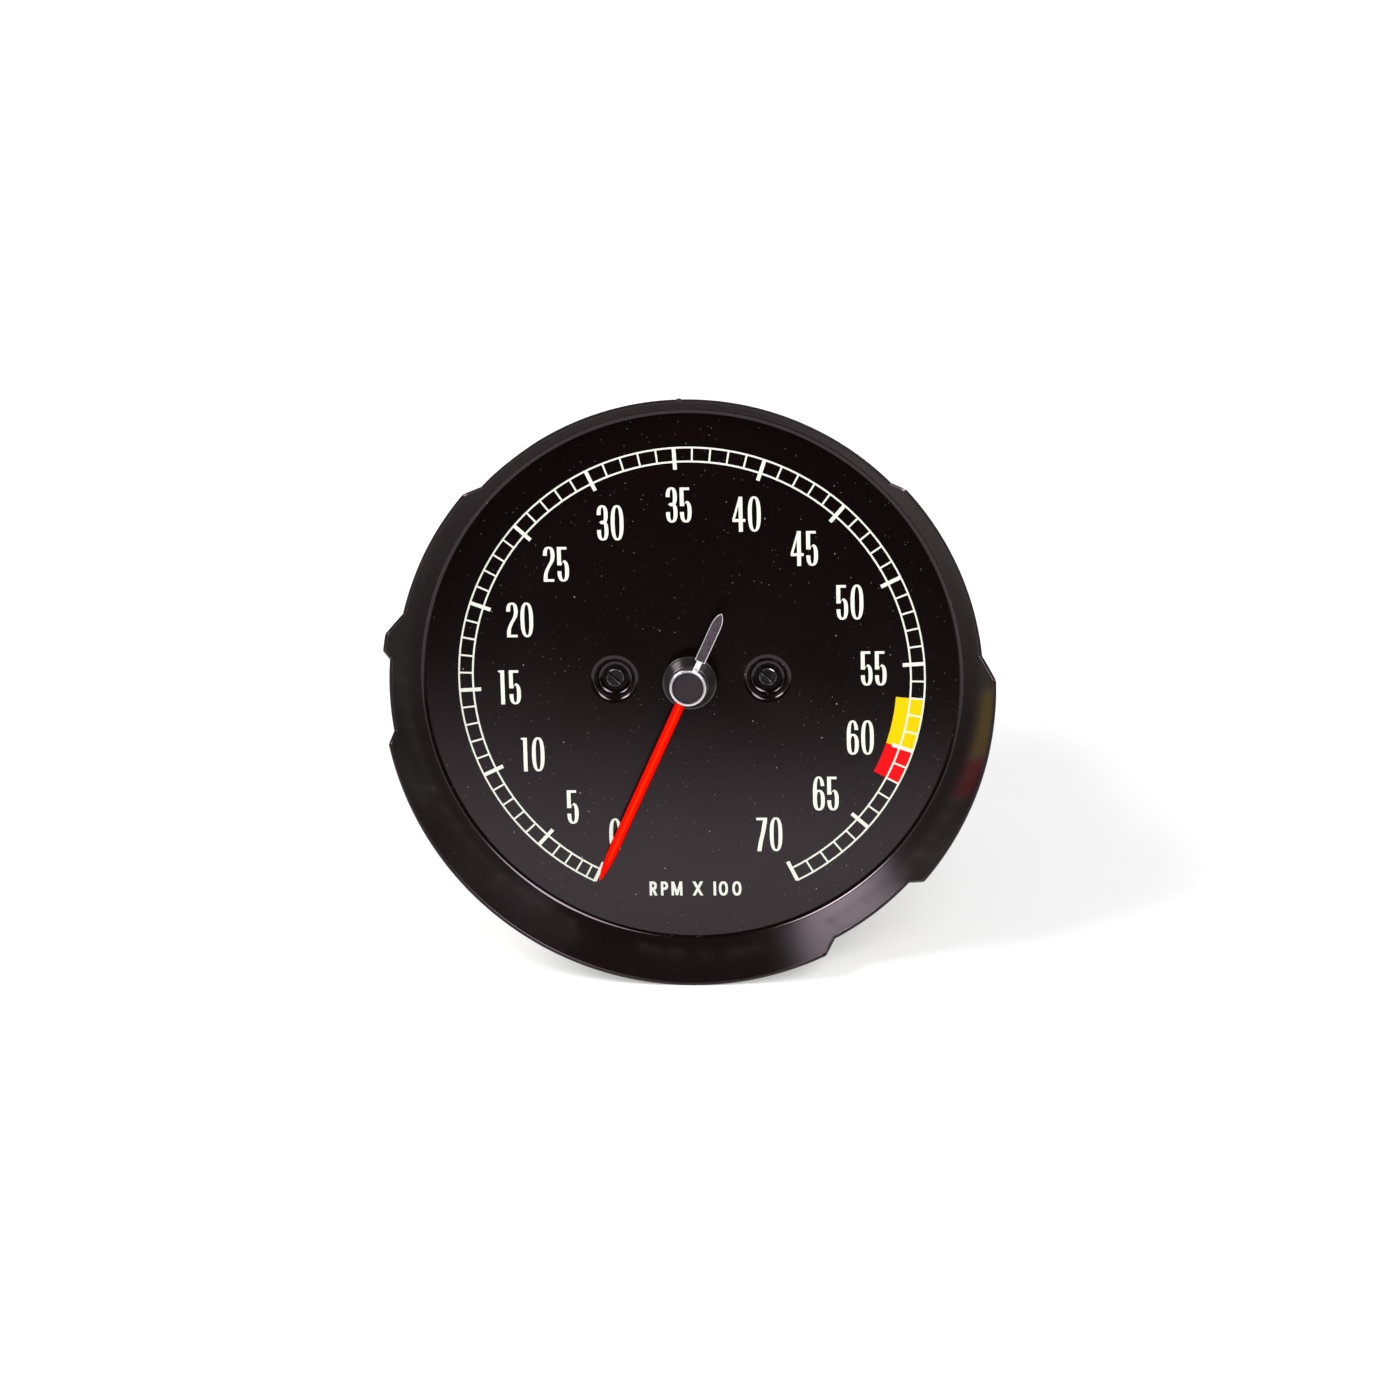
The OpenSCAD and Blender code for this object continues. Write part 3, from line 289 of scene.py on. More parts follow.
def apply_modifiers(piece):
    select_only(piece)
    for modifier in list(piece.modifiers):
        bpy.ops.object.modifier_apply(modifier=modifier.name)


def smooth(piece, degrees):
    """Smooth shading up to an angle, weighted so that flat faces stay flat beside bevels."""
    select_only(piece)
    bpy.ops.object.shade_smooth_by_angle(angle=math.radians(degrees))
    weigh = piece.modifiers.new("weigh", "WEIGHTED_NORMAL")
    weigh.keep_sharp = True
    apply_modifiers(piece)


def no_slivers(piece):
    """Takes out the edges and faces of no size that a cut or a bevel leaves."""
    select_only(piece)
    bpy.ops.object.mode_set(mode="EDIT")
    bpy.ops.mesh.select_all(action="SELECT")
    bpy.ops.mesh.dissolve_degenerate(threshold=SLIVER)
    bpy.ops.mesh.remove_doubles(threshold=SLIVER)
    bpy.ops.object.mode_set(mode="OBJECT")


def select_open_edges(piece, within):
    """Selects a piece's open edges, in edit mode, where a test on both their ends holds."""
    bpy.ops.mesh.select_all(action="DESELECT")
    shape = bmesh.from_edit_mesh(piece.data)
    for edge in shape.edges:
        edge.select_set(len(edge.link_faces) < 2 and all(within(v.co) for v in edge.verts))
    bmesh.update_edit_mesh(piece.data)


def bevel_edges(piece, chosen, width, segments, material=-1):
    """Bevels the edges that a test on their two faces and two ends picks out."""
    select_only(piece)
    bpy.ops.object.mode_set(mode="EDIT")
    bpy.ops.mesh.select_mode(type="EDGE")
    bpy.ops.mesh.select_all(action="DESELECT")
    shape = bmesh.from_edit_mesh(piece.data)
    for edge in shape.edges:
        if len(edge.link_faces) == 2:
            edge.select_set(chosen(edge, *[v.co for v in edge.verts]))
    bmesh.update_edit_mesh(piece.data)
    bpy.ops.mesh.bevel(offset=width, offset_type="OFFSET", segments=segments, material=material)
    bpy.ops.mesh.select_mode(type="VERT")
    bpy.ops.object.mode_set(mode="OBJECT")
    no_slivers(piece)


def sharp(edge):
    return edge.calc_face_angle(0) > SHARP


def set_in(piece, body, slot, *nodes):
    """Sets a finished piece into the stance, puts it on its body and hides the solids that it stands
    for. The slot is not used.
    """
    piece.data.transform(dial_axes)
    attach(piece, body)
    if nodes:
        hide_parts(*nodes)


def rim_height(clock):
    """The rim's height at an angle of the dial, with the cuts and their sloping ends."""
    height = RIM_H
    for start, end, low in RIM_CUTS:
        past = math.radians(max(start - clock, clock - end, 0))
        height = min(height, low + past * CUT_R * CUT_SLOPE)
    return height


wall_leans = 90 - math.degrees(FLARE)
bend_from = DIAL_R - BEND_R * math.tan(math.radians(wall_leans / 2))
bend = arc(bend_from, BEND_R, BEND_R, -90, -90 + wall_leans, 7)
wall_foot = bend[-1]
wall_foot_h = wall_foot[1]
wall_across = DIAL_R + RIM_H * math.tan(FLARE) - wall_foot[0]
wall = [
    (wall_foot[0] + wall_across * i / WALL_ROWS, wall_foot_h + (RIM_H - wall_foot_h) * i / WALL_ROWS)
    for i in range(1, WALL_ROWS + 1)
]
dish = turned("dial_dish", [(bend_from - FLAT_EDGE, 0)] + bend + wall, RIM_STEPS)
cut_ends = [clock for start, end, low in RIM_CUTS for clock in (start, end)]
for v in dish.data.vertices:
    if v.co.z > wall_foot_h - TOUCH:
        clock = math.degrees(math.atan2(v.co.x, v.co.y))
        nearest = min(cut_ends, key=lambda end: abs(end - clock))
        if abs(nearest - clock) < HALF_STEP:
            clock = nearest
        share = (v.co.z - wall_foot_h) / (RIM_H - wall_foot_h)
        height = wall_foot_h + share * (rim_height(clock) - wall_foot_h)
        r = DIAL_R + height * math.tan(FLARE)
        v.co = (r * math.sin(math.radians(clock)), r * math.cos(math.radians(clock)), height)

floor_r = DIMPLE_R - DIMPLE_FILLET
dimple = turned("dimple", [
    (SCREW_HOLE_R, -DIMPLE_DEEP), (floor_r - DIMPLE_FLAT, -DIMPLE_DEEP),
    *arc(floor_r, DIMPLE_FILLET - DIMPLE_DEEP, DIMPLE_FILLET, -90, 0, 8),
    *arc(DIMPLE_R + DIMPLE_LIP, -DIMPLE_LIP, DIMPLE_LIP, 180, 90, 9),
    (DIMPLE_R + DIMPLE_LIP + FLAT_EDGE, 0),
], 96)
other_dimple = copy_of(dimple, "other_dimple")
dimple.data.transform(Matrix.Translation((-DIMPLE_X, 0, 0)))
other_dimple.data.transform(Matrix.Translation((DIMPLE_X, 0, 0)))
deselect()
bpy.ops.mesh.primitive_circle_add(vertices=64, radius=SPINDLE_HOLE_R)
dish = join_as("dial_dish", [dish, dimple, other_dimple, bpy.context.object])
bpy.ops.object.mode_set(mode="EDIT")
select_open_edges(dish, lambda co: abs(co.z) < WELD)
bpy.ops.mesh.fill()
bpy.ops.mesh.select_all(action="SELECT")
bpy.ops.mesh.remove_doubles(threshold=WELD)
bpy.ops.mesh.normals_make_consistent(inside=False)
bpy.ops.object.mode_set(mode="OBJECT")
if sum(face.normal.z * face.area for face in dish.data.polygons) < 0:
    dish.data.flip_normals()


def finish_of(name, colour, roughness, metallic=0.0):
    """A new material, with its node tree, its shader and the piece's own coordinates."""
    material = bpy.data.materials.new(name)
    material.use_nodes = True
    tree = material.node_tree
    shader = tree.nodes["Principled BSDF"]
    shader.inputs["Base Color"].default_value = (*colour, 1)
    shader.inputs["Roughness"].default_value = roughness
    shader.inputs["Metallic"].default_value = metallic
    return material, tree, shader, tree.nodes.new("ShaderNodeTexCoord").outputs["Object"]


def noise(tree, place, scale, detail=2.0, roughness=0.5):
    node = tree.nodes.new("ShaderNodeTexNoise")
    node.inputs["Scale"].default_value = scale
    node.inputs["Detail"].default_value = detail
    node.inputs["Roughness"].default_value = roughness
    tree.links.new(place, node.inputs["Vector"])
    return node.outputs["Fac"]


def blend(tree, share, first, second):
    """A colour between two, by a share that varies over the surface."""
    node = tree.nodes.new("ShaderNodeMix")
    node.data_type = "RGBA"
    for key, colour in (("A", first), ("B", second)):
        if isinstance(colour, tuple):
            node.inputs[key].default_value = (*colour, 1)
        else:
            tree.links.new(colour, node.inputs[key])
    tree.links.new(share, node.inputs["Factor"])
    return node.outputs["Result"]


def colour_in(tree, shader, share, first, second):
    """Gives a surface its colour, blended from two."""
    tree.links.new(blend(tree, share, first, second), shader.inputs["Base Color"])


def relief(tree, shader, height, depth_mm):
    """Raises the surface where a value is high, in its shading alone."""
    node = tree.nodes.new("ShaderNodeBump")
    node.inputs["Strength"].default_value = 1
    node.inputs["Distance"].default_value = depth_mm * MM
    tree.links.new(height, node.inputs["Height"])
    tree.links.new(node.outputs["Normal"], shader.inputs["Normal"])


def gauge_axes(tree, place, stretch):
    """The piece's coordinates turned back upright to the gauge's axes, and stretched on them."""
    node = tree.nodes.new("ShaderNodeMapping")
    node.vector_type = "TEXTURE"
    node.inputs["Location"].default_value = dial_axes.translation
    node.inputs["Rotation"].default_value = dial_turn.to_euler()
    node.inputs["Scale"].default_value = stretch
    tree.links.new(place, node.inputs["Vector"])
    return node.outputs["Vector"]


def dust(tree, place, scale, share, size):
    """1 in the small specks of dust that lie in a share of the cells, and 0 elsewhere."""
    cells = tree.nodes.new("ShaderNodeTexVoronoi")
    cells.inputs["Scale"].default_value = scale
    tree.links.new(place, cells.inputs["Vector"])
    hue = tree.nodes.new("ShaderNodeSeparateColor")
    tree.links.new(cells.outputs["Color"], hue.inputs["Color"])
    reach = maths(tree, "MULTIPLY", ramp(tree, hue.outputs["Red"], share, 0, 0, 1), size)
    return maths(tree, "LESS_THAN", cells.outputs["Distance"], reach)


def orange_peel(tree, shader, place):
    """The slight waves that sprayed enamel dries with."""
    relief(tree, shader, noise(tree, place, 420, 1), 0.0015)


ENAMEL, MOTE_GREY, SPECK_GREY = (0.0046, 0.0023, 0.0021), (0.16, 0.135, 0.14), (0.3, 0.26, 0.26)
PRIMER, PRIMER_DARK = (0.62, 0.65, 0.55), (0.52, 0.55, 0.46)
# dust: cells to the metre, the share of them that hold a grain, and the grain's size in its cell
MOTES, SPECKS, WALL_MOTES = (1100, 0.45, 0.13), (520, 0.2, 0.10), (900, 0.3, 0.12)
GRAIN_ROUGH, CLEAN_ROUGH, SMEARED_ROUGH = 0.6, 0.11, 0.135
enamel, tree, shader, place = finish_of("black_enamel", ENAMEL, 0.12)
shader.inputs["Specular IOR Level"].default_value = 0.41
shader.inputs["Specular Tint"].default_value = (1, 0.84, 0.93, 1)
shader.inputs["Sheen Weight"].default_value = 0.1
shader.inputs["Sheen Roughness"].default_value = 0.28
shader.inputs["Sheen Tint"].default_value = (1, 0.85, 0.87, 1)
motes = dust(tree, place, *MOTES)
specks = dust(tree, place, *SPECKS)
colour_in(tree, shader, specks, blend(tree, motes, ENAMEL, MOTE_GREY), SPECK_GREY)
smears = ramp(tree, noise(tree, place, 38, 4), 0.35, 0.7, CLEAN_ROUGH, SMEARED_ROUGH)
grains = maths(tree, "MULTIPLY", maths(tree, "MAXIMUM", specks, motes), GRAIN_ROUGH)
tree.links.new(maths(tree, "MAXIMUM", smears, grains), shader.inputs["Roughness"])
orange_peel(tree, shader, place)

# the wall's enamel is drier than the dial's, most of all at the top, under a film of dust: from
# the first height above the pointer's axis to the second, in metres, both grow
FILM_FROM, FILM_TO = -0.012, 0.03
LOW_ROUGH, HIGH_ROUGH, LOW_DUST, HIGH_DUST = 0.22, 0.33, 0.06, 0.45
wall_enamel, tree, shader, place = finish_of("wall_enamel", ENAMEL, 0.21)
shader.inputs["Specular IOR Level"].default_value = 0.5
shader.inputs["Specular Tint"].default_value = (1, 0.84, 0.93, 1)
shader.inputs["Sheen Roughness"].default_value = 0.3
shader.inputs["Sheen Tint"].default_value = (1, 0.86, 0.88, 1)
colour_in(tree, shader, dust(tree, place, *WALL_MOTES), ENAMEL, (0.09, 0.075, 0.078))
upright = tree.nodes.new("ShaderNodeSeparateXYZ")
tree.links.new(gauge_axes(tree, place, (1, 1, 1)), upright.inputs["Vector"])
dryness = ramp(tree, upright.outputs["Y"], FILM_FROM, FILM_TO, LOW_ROUGH, HIGH_ROUGH)
dusty = ramp(tree, upright.outputs["Y"], FILM_FROM, FILM_TO, LOW_DUST, HIGH_DUST)
tree.links.new(dusty, shader.inputs["Sheen Weight"])
film = ramp(tree, noise(tree, place, 60, 4), 0.3, 0.7, -0.015, 0.02)
tree.links.new(maths(tree, "ADD", dryness, film), shader.inputs["Roughness"])
orange_peel(tree, shader, place)

primer, tree, shader, place = finish_of("pale_primer", PRIMER, 0.55)
cloud = ramp(tree, noise(tree, place, 60, 5, 0.6), 0.3, 0.7)
colour_in(tree, shader, cloud, PRIMER_DARK, PRIMER)
relief(tree, shader, noise(tree, place, 900, 2), 0.004)

# where the enamel is thin on the outer corner of the cut rim, the pale primer shows as a line
rim_edge, tree, shader, place = finish_of("rubbed_rim", PRIMER, 0.35)
rubbed = ramp(tree, noise(tree, place, 22, 3, 0.7), 0.56, 0.66)
colour_in(tree, shader, rubbed, ENAMEL, PRIMER)

for material in (enamel, primer, rim_edge, wall_enamel):
    dish.data.materials.append(material)
ENAMELLED, PRIMED, RUBBED, DRY_WALL = range(4)
sheet = dish.modifiers.new("sheet", "SOLIDIFY")
sheet.thickness = SHEET
sheet.offset = -1
sheet.use_even_offset = True
sheet.material_offset = PRIMED
apply_modifiers(dish)


def outer_corner(edge, a, b):
    """Tells the rim's sharp edge outside from the one inside, by the middle of the sheet."""
    middle = DIAL_R + MID_SHEET
    return sharp(edge) and all(
        math.hypot(v.x, v.y) - v.z * math.tan(FLARE) > middle and v.z > RIM_FROM_H for v in (a, b))


# the rim is cut level: its outer corner is raised along the wall to the inner one's height
select_only(dish)
bpy.ops.object.mode_set(mode="EDIT")
shape = bmesh.from_edit_mesh(dish.data)
corners = {v for edge in shape.edges if outer_corner(edge, *[v.co for v in edge.verts])
           for v in edge.verts}
rise = SHEET * math.sin(FLARE)
for v in corners:
    out = rise * math.tan(FLARE) / math.hypot(v.co.x, v.co.y)
    v.co += Vector((v.co.x * out, v.co.y * out, rise))
bmesh.update_edit_mesh(dish.data)
bpy.ops.object.mode_set(mode="OBJECT")
bevel_edges(dish, outer_corner, CORNER_BEVEL, 1, material=RUBBED)
bevel_edges(
    dish, lambda edge, a, b: sharp(edge) and min(a.z, b.z) > RIM_FROM_H, RIM_BEVEL, 2,
    material=ENAMELLED)
bevel_edges(dish, lambda edge, a, b: sharp(edge) and max(a.z, b.z) < HOLES_TO_H, HOLE_BEVEL, 1)
for face in dish.data.polygons:
    if face.material_index == ENAMELLED and face.center.z > WALL_SHARE * wall_foot_h:
        face.material_index = DRY_WALL
smooth(dish, 40)
set_in(dish, "gauge_body", "dish_enamel", "face_dish")

# The print is matt ink, screened on the enamel: two thin rings with a mark for every hundred
# turns, plain numbers and the unit's letters in pale green-white, and the two colour bands.
THINNED = 0.9


def dress(material, slot, *names):
    """Gives solids that are right as they were built their finish. The slot is not used."""
    for name in names:
        node = frame["nodes"][name]
        node.data.materials.clear()
        node.data.materials.append(material)


for ink, colour, nodes in (
    ("scale_ink", (0.88, 0.915, 0.80), ("dial_scale", "dial_numerals", "dial_legend")),
    ("caution_ink", (0.98, 0.67, 0.001), ("caution_band",)),
    ("redline_ink", (0.92, 0.006, 0.009), ("redline_band",)),
):
    material, tree, shader, place = finish_of(ink, colour, 0.5)
    shader.inputs["Specular IOR Level"].default_value = 0.05
    grain = noise(tree, place, 2600, 3)
    thin_ink = tuple(c * THINNED for c in colour)
    colour_in(tree, shader, ramp(tree, grain, 0.35, 0.6), thin_ink, colour)
    relief(tree, shader, grain, 0.004)
    dress(material, ink, *nodes)

# The dial screws are small slotted steel screws, blackened, one in each dimple. The blacking
# has rubbed off the rim of the head and the lips of the slot, where the driver slips.
HEAD_R, HEAD_H, THREAD_R, THREAD_L = 2.25, 1.2, 1.42, 6.0
SLOT_W, SLOT_DEEP, SLOT_TURN = 0.63, 0.66, -42
HEAD_ROUND, HEAD_BREAK, HEAD_DOME, SCREW_POINT, SLOT_BEVEL = 0.3, 0.08, 0.04, 0.3, 0.07


def combine(piece, tool, operation, materials="INDEX"):
    """Cuts a tool's shape out of a piece, or joins it on, and clears the tool away."""
    change = piece.modifiers.new("change", "BOOLEAN")
    change.object = tool
    change.operation = operation
    change.material_mode = materials
    apply_modifiers(piece)
    bpy.data.objects.remove(tool)


def cut_slot(screw, length, width, deep, top, turn):
    """Saws a driver's slot across a screw's head."""
    deselect()
    bpy.ops.mesh.primitive_cube_add(size=1)
    saw = bpy.context.object
    saw.data.transform(
        Matrix.Translation((0, 0, top)) @ Matrix.Rotation(math.radians(turn), 4, "Z")
        @ Matrix.Diagonal((length, width, 2 * deep, 1)))
    combine(screw, saw, "DIFFERENCE")


screw = turned("dial_screw", [
    (0, -THREAD_L), (THREAD_R - SCREW_POINT, -THREAD_L), (THREAD_R, SCREW_POINT - THREAD_L),
    (THREAD_R, 0), (HEAD_R - HEAD_BREAK, 0), (HEAD_R, HEAD_BREAK), (HEAD_R, HEAD_H - HEAD_ROUND),
    *arc(HEAD_R - HEAD_ROUND, HEAD_H - HEAD_ROUND, HEAD_ROUND, 15, 75, 3),
    (HEAD_R - 1.4 * HEAD_ROUND, HEAD_H), (0, HEAD_H + HEAD_DOME),
], 64)
blacked, tree, shader, place = finish_of("blacked_steel", (0.012, 0.010, 0.011), 0.33, 0.6)
mottle = noise(tree, place, 1400, 4, 0.65)
black, greyed = (0.005, 0.004, 0.005), (0.032, 0.026, 0.028)
colour_in(tree, shader, ramp(tree, mottle, 0.4, 0.7), black, greyed)
tree.links.new(ramp(tree, mottle, 0.3, 0.7, 0.25, 0.45), shader.inputs["Roughness"])
shader.inputs["Specular IOR Level"].default_value = 0.3
relief(tree, shader, mottle, 0.01)
rubbed_steel, tree, shader, place = finish_of("rubbed_steel", (0.3, 0.28, 0.28), 0.3, 1.0)
worn = ramp(tree, noise(tree, place, 900, 3, 0.7), 0.4, 0.62)
colour_in(tree, shader, worn, (0.03, 0.027, 0.028), (0.42, 0.39, 0.4))
screw.data.materials.append(blacked)
screw.data.materials.append(rubbed_steel)
cut_slot(screw, 3 * HEAD_R, SLOT_W, SLOT_DEEP, HEAD_H, SLOT_TURN)
lip = HEAD_H - HEAD_ROUND
bevel_edges(screw, lambda edge, a, b: sharp(edge) and min(a.z, b.z) > lip, SLOT_BEVEL, 1, material=1)
for face in screw.data.polygons:
    x, y, z = face.center
    if lip + 0.02 < z < HEAD_H - 0.02 and math.hypot(x, y) > HEAD_R - HEAD_ROUND:
        face.material_index = 1
smooth(screw, 35)
for side in (-1, 1):
    copy = copy_of(screw, "dial_screw_left" if side < 0 else "dial_screw_right")
    copy.data.transform(Matrix.Translation((side * DIMPLE_X, 0, -DIMPLE_DEEP)))
    set_in(copy, "gauge_body", "black_steel", "dial_screws")
bpy.data.objects.remove(screw)

# The pointer's blade is thin sheet with a ridge raised along it, sprayed bright red-orange. Its
# round eye sits on the hub, where the ring clamps it together with the tail.
REST_AT = -154.8
BLADE_Z, BLADE_T, RIDGE_H, BLADE_W = 8.5, 0.5, 0.45, 2.7
BLADE_TIP, BLADE_POINT, BLADE_FROM = 55.4, 9.4, 3.6
EYE_R, PIN_R, EYE_BREAK = 4.2, 0.8, 0.05
COLUMNS, BODY_ROWS, POINT_ROWS = 10, 6, 10
EDGE_DROP, CREST_SHARE, CREST_SHORT, RED_THINNED = 0.12, 0.74, 2, 0.88
# across the blade: its upright edges, its slopes, and the rounded ridge in the middle
PROFILE = (-1, -1, -0.84, -0.25, -0.1, 0, 0.1, 0.25, 0.84, 1, 1)
rising = [0, BLADE_T - EDGE_DROP, BLADE_T, BLADE_T + 0.75 * RIDGE_H, BLADE_T + 0.95 * RIDGE_H]
HEIGHTS = rising + [BLADE_T + RIDGE_H] + rising[::-1]


def half_width(width, share):
    """Half the width of a bar's rounded point: 0 at its shoulder, 1 at its tip."""
    return width / 2 * max(1 - share ** 1.8, 0.004) ** 0.65


def at_clock(clock):
    """Turns a piece that was drawn along 12 o'clock to an angle of the dial."""
    return Matrix.Rotation(math.radians(-clock), 4, "Z")


shoulder = BLADE_TIP - BLADE_POINT
stations = [BLADE_FROM + (shoulder - BLADE_FROM) * i / BODY_ROWS for i in range(BODY_ROWS + 1)]
stations += [BLADE_TIP - BLADE_POINT * (1 - i / POINT_ROWS) for i in range(1, POINT_ROWS + 1)]
rows = len(stations) - 1
deselect()
bpy.ops.mesh.primitive_grid_add(x_subdivisions=COLUMNS, y_subdivisions=rows, size=1)
blade = bpy.context.object
blade.name = "blade"
for v in blade.data.vertices:
    column = round((v.co.x + 0.5) * COLUMNS)
    along = stations[round((v.co.y + 0.5) * rows)]
    point = max(0, (along - BLADE_TIP + BLADE_POINT) / BLADE_POINT)
    half = half_width(BLADE_W, point)
    height = HEIGHTS[column]
    if height > BLADE_T:
        height = BLADE_T + (height - BLADE_T) * half / (BLADE_W / 2)
    v.co = (PROFILE[column] * half, along, BLADE_Z + height)
bpy.ops.object.mode_set(mode="EDIT")
# the two ends are closed first, and the underside last
for end in (BLADE_FROM, BLADE_TIP, None):
    select_open_edges(blade, lambda co: end is None or abs(co.y - end) < TOUCH)
    bpy.ops.mesh.edge_face_add()
bpy.ops.mesh.select_all(action="SELECT")
bpy.ops.mesh.quads_convert_to_tris()
bpy.ops.mesh.normals_make_consistent(inside=False)
bpy.ops.object.mode_set(mode="OBJECT")
eye = turned("eye", [
    (PIN_R, BLADE_Z), (EYE_R - EYE_BREAK, BLADE_Z), (EYE_R, BLADE_Z + EYE_BREAK),
    (EYE_R, BLADE_Z + BLADE_T - EYE_BREAK), (EYE_R - EYE_BREAK, BLADE_Z + BLADE_T),
    (PIN_R, BLADE_Z + BLADE_T), (PIN_R, BLADE_Z),
], 64)
combine(blade, eye, "UNION")
no_slivers(blade)
blade.data.materials.clear()
# the blade's red, a lighter red for the painted highlight on the crest, and a darker red for the
# painted shade down the edges
for name, red in (
    ("pointer_red", (0.95, 0.003, 0.0005)), ("pointer_painted_highlight", (1.0, 0.022, 0.001)),
    ("pointer_painted_shade", (0.22, 0.002, 0.001)),
):
    paint, tree, shader, place = finish_of(name, red, 0.4)
    shader.inputs["Specular IOR Level"].default_value = 0.02
    # the paint also glows a little by itself: a painted glow that keeps the red bright
    shader.inputs["Emission Color"].default_value = (*red, 1)
    shader.inputs["Emission Strength"].default_value = 0.1
    uneven = ramp(tree, noise(tree, place, 700, 3), 0.3, 0.6)
    colour_in(tree, shader, uneven, tuple(RED_THINNED * c for c in red), red)
    relief(tree, shader, noise(tree, place, 1500, 2), 0.003)
    blade.data.materials.append(paint)
# over the ridge's crest the red is painted lighter, a painted highlight, and down the edges it is
# painted darker, a painted shade
for face in blade.data.polygons:
    rise = face.center.z - BLADE_Z
    crest = rise > BLADE_T + CREST_SHARE * RIDGE_H and face.center.y < BLADE_TIP - CREST_SHORT
    edge = rise < BLADE_T - TOUCH and face.center.y > EYE_R
    face.material_index = 1 if crest else 2 if edge else 0
smooth(blade, 28)
blade.data.transform(at_clock(REST_AT))
set_in(blade, "pointer", "pointer_red", "pointer_blade")

# The tail balances the blade: a flat bar of aluminium with bevelled edges, on a narrow rounded
# neck. Its face is brushed dull, and its bevels and neck are bright.
TAIL_Z, TAIL_T, TAIL_W, TAIL_TIP, TAIL_POINT = 7.9, 0.6, 2.7, 20.3, 3.6
NECK_W, NECK_R = 1.5, 6.8
ROD_FROM, ROD_RISE, ROD_H, LAP = 3.4, 0.05, 2 * TAIL_T - 0.2, 0.3
TAIL_BEVEL, TAIL_ROWS = 0.2, 9
side = [(TAIL_W / 2, NECK_R), (TAIL_W / 2, TAIL_TIP - TAIL_POINT)]
side += [
    (half_width(TAIL_W, i / TAIL_ROWS), TAIL_TIP - TAIL_POINT * (1 - i / TAIL_ROWS))
    for i in range(1, TAIL_ROWS + 1)
]
outline = side + [(-x, y) for x, y in reversed(side)]
tail = drawn("tail", [(x, y, TAIL_Z) for x, y in outline])
bpy.ops.mesh.edge_face_add()
bpy.ops.mesh.extrude_region_move(TRANSFORM_OT_translate={"value": (0, 0, TAIL_T)})
bpy.ops.mesh.select_all(action="SELECT")
bpy.ops.mesh.remove_doubles(threshold=WELD)
bpy.ops.mesh.normals_make_consistent(inside=False)
bpy.ops.object.mode_set(mode="OBJECT")
dull, tree, shader, place = finish_of("brushed_aluminium", (0.3, 0.28, 0.29), 0.5, 1.0)
grit = noise(tree, place, 3200, 3, 0.75)
pits, tops = (0.022, 0.018, 0.022), (0.15, 0.125, 0.145)
colour_in(tree, shader, ramp(tree, grit, 0.36, 0.64), pits, tops)
relief(tree, shader, grit, 0.02)
bright, tree, shader, place = finish_of("bright_aluminium", (0.95, 0.93, 0.94), 0.4, 1.0)
uneven = ramp(tree, noise(tree, place, 900, 3), 0.3, 0.6)
colour_in(tree, shader, uneven, (0.84, 0.81, 0.81), (0.96, 0.93, 0.93))
tail.data.materials.append(dull)
tail.data.materials.append(bright)
tail_face = TAIL_Z + TAIL_T - TOUCH
bevel_edges(
    tail, lambda edge, a, b: sharp(edge) and min(a.z, b.z) > tail_face, TAIL_BEVEL, 2, material=1)
neck = turned("neck", [
    (PIN_R, TAIL_Z), (EYE_R, TAIL_Z), (EYE_R, TAIL_Z + TAIL_T), (PIN_R, TAIL_Z + TAIL_T),
    (PIN_R, TAIL_Z),
], 64)
deselect()
bpy.ops.mesh.primitive_cylinder_add(vertices=32, radius=0.5, depth=1)
rod = bpy.context.object
rod.data.transform(
    Matrix.Translation((0, (ROD_FROM + NECK_R + LAP) / 2, TAIL_Z + ROD_RISE))
    @ Matrix.Diagonal((NECK_W, NECK_R + LAP - ROD_FROM, ROD_H, 1))
    @ Matrix.Rotation(math.pi / 2, 4, "X"))
select_only(rod)
bpy.ops.object.mode_set(mode="EDIT")
bpy.ops.mesh.select_all(action="SELECT")
bpy.ops.mesh.bisect(plane_co=(0, 0, TAIL_Z), plane_no=(0, 0, -1), use_fill=True, clear_outer=True)
bpy.ops.object.mode_set(mode="OBJECT")
for part in (neck, rod):
    part.data.materials.append(bright)
    combine(tail, part, "UNION", "TRANSFER")
no_slivers(tail)
smooth(tail, 32)
tail.data.transform(at_clock(REST_AT + 180))
set_in(tail, "pointer", "tail_metal", "pointer_tail")

# The hub is a small moulded cone of black plastic, hollow beneath, that carries the pointer on
# its spindle. Its base has a thin rounded rim, and its surface is polished.
HUB_GAP, HUB_R, HUB_TOP_R, HUB_TOP = 4.5, 6.8, 4.75, 7.9
HUB_HOLLOW, RIM_ROUND, TOP_ROUND = 1.6, 0.2, 0.4
HUB_COLOUR, HUB_DUST = (0.018, 0.0145, 0.0145), (1500, 0.10, 0.2)
hub = turned("hub", [
    (PIN_R, HUB_GAP + HUB_HOLLOW), (HUB_R - 1.7, HUB_GAP + HUB_HOLLOW), (HUB_R - 1.1, HUB_GAP + 0.05),
    (HUB_R - 1.05, HUB_GAP), (HUB_R - 0.1, HUB_GAP), (HUB_R - 0.03, HUB_GAP + 0.03),
    *arc(HUB_R - RIM_ROUND, HUB_GAP + RIM_ROUND, RIM_ROUND, 0, 75, 6), (HUB_R - 0.4, HUB_GAP + 0.46),
    (HUB_TOP_R + 0.36, HUB_TOP - 0.45),
    *arc(HUB_TOP_R - 0.1, HUB_TOP - TOP_ROUND, TOP_ROUND, 20, 90, 5),
    (PIN_R, HUB_TOP), (PIN_R, HUB_GAP + HUB_HOLLOW),
], 128)
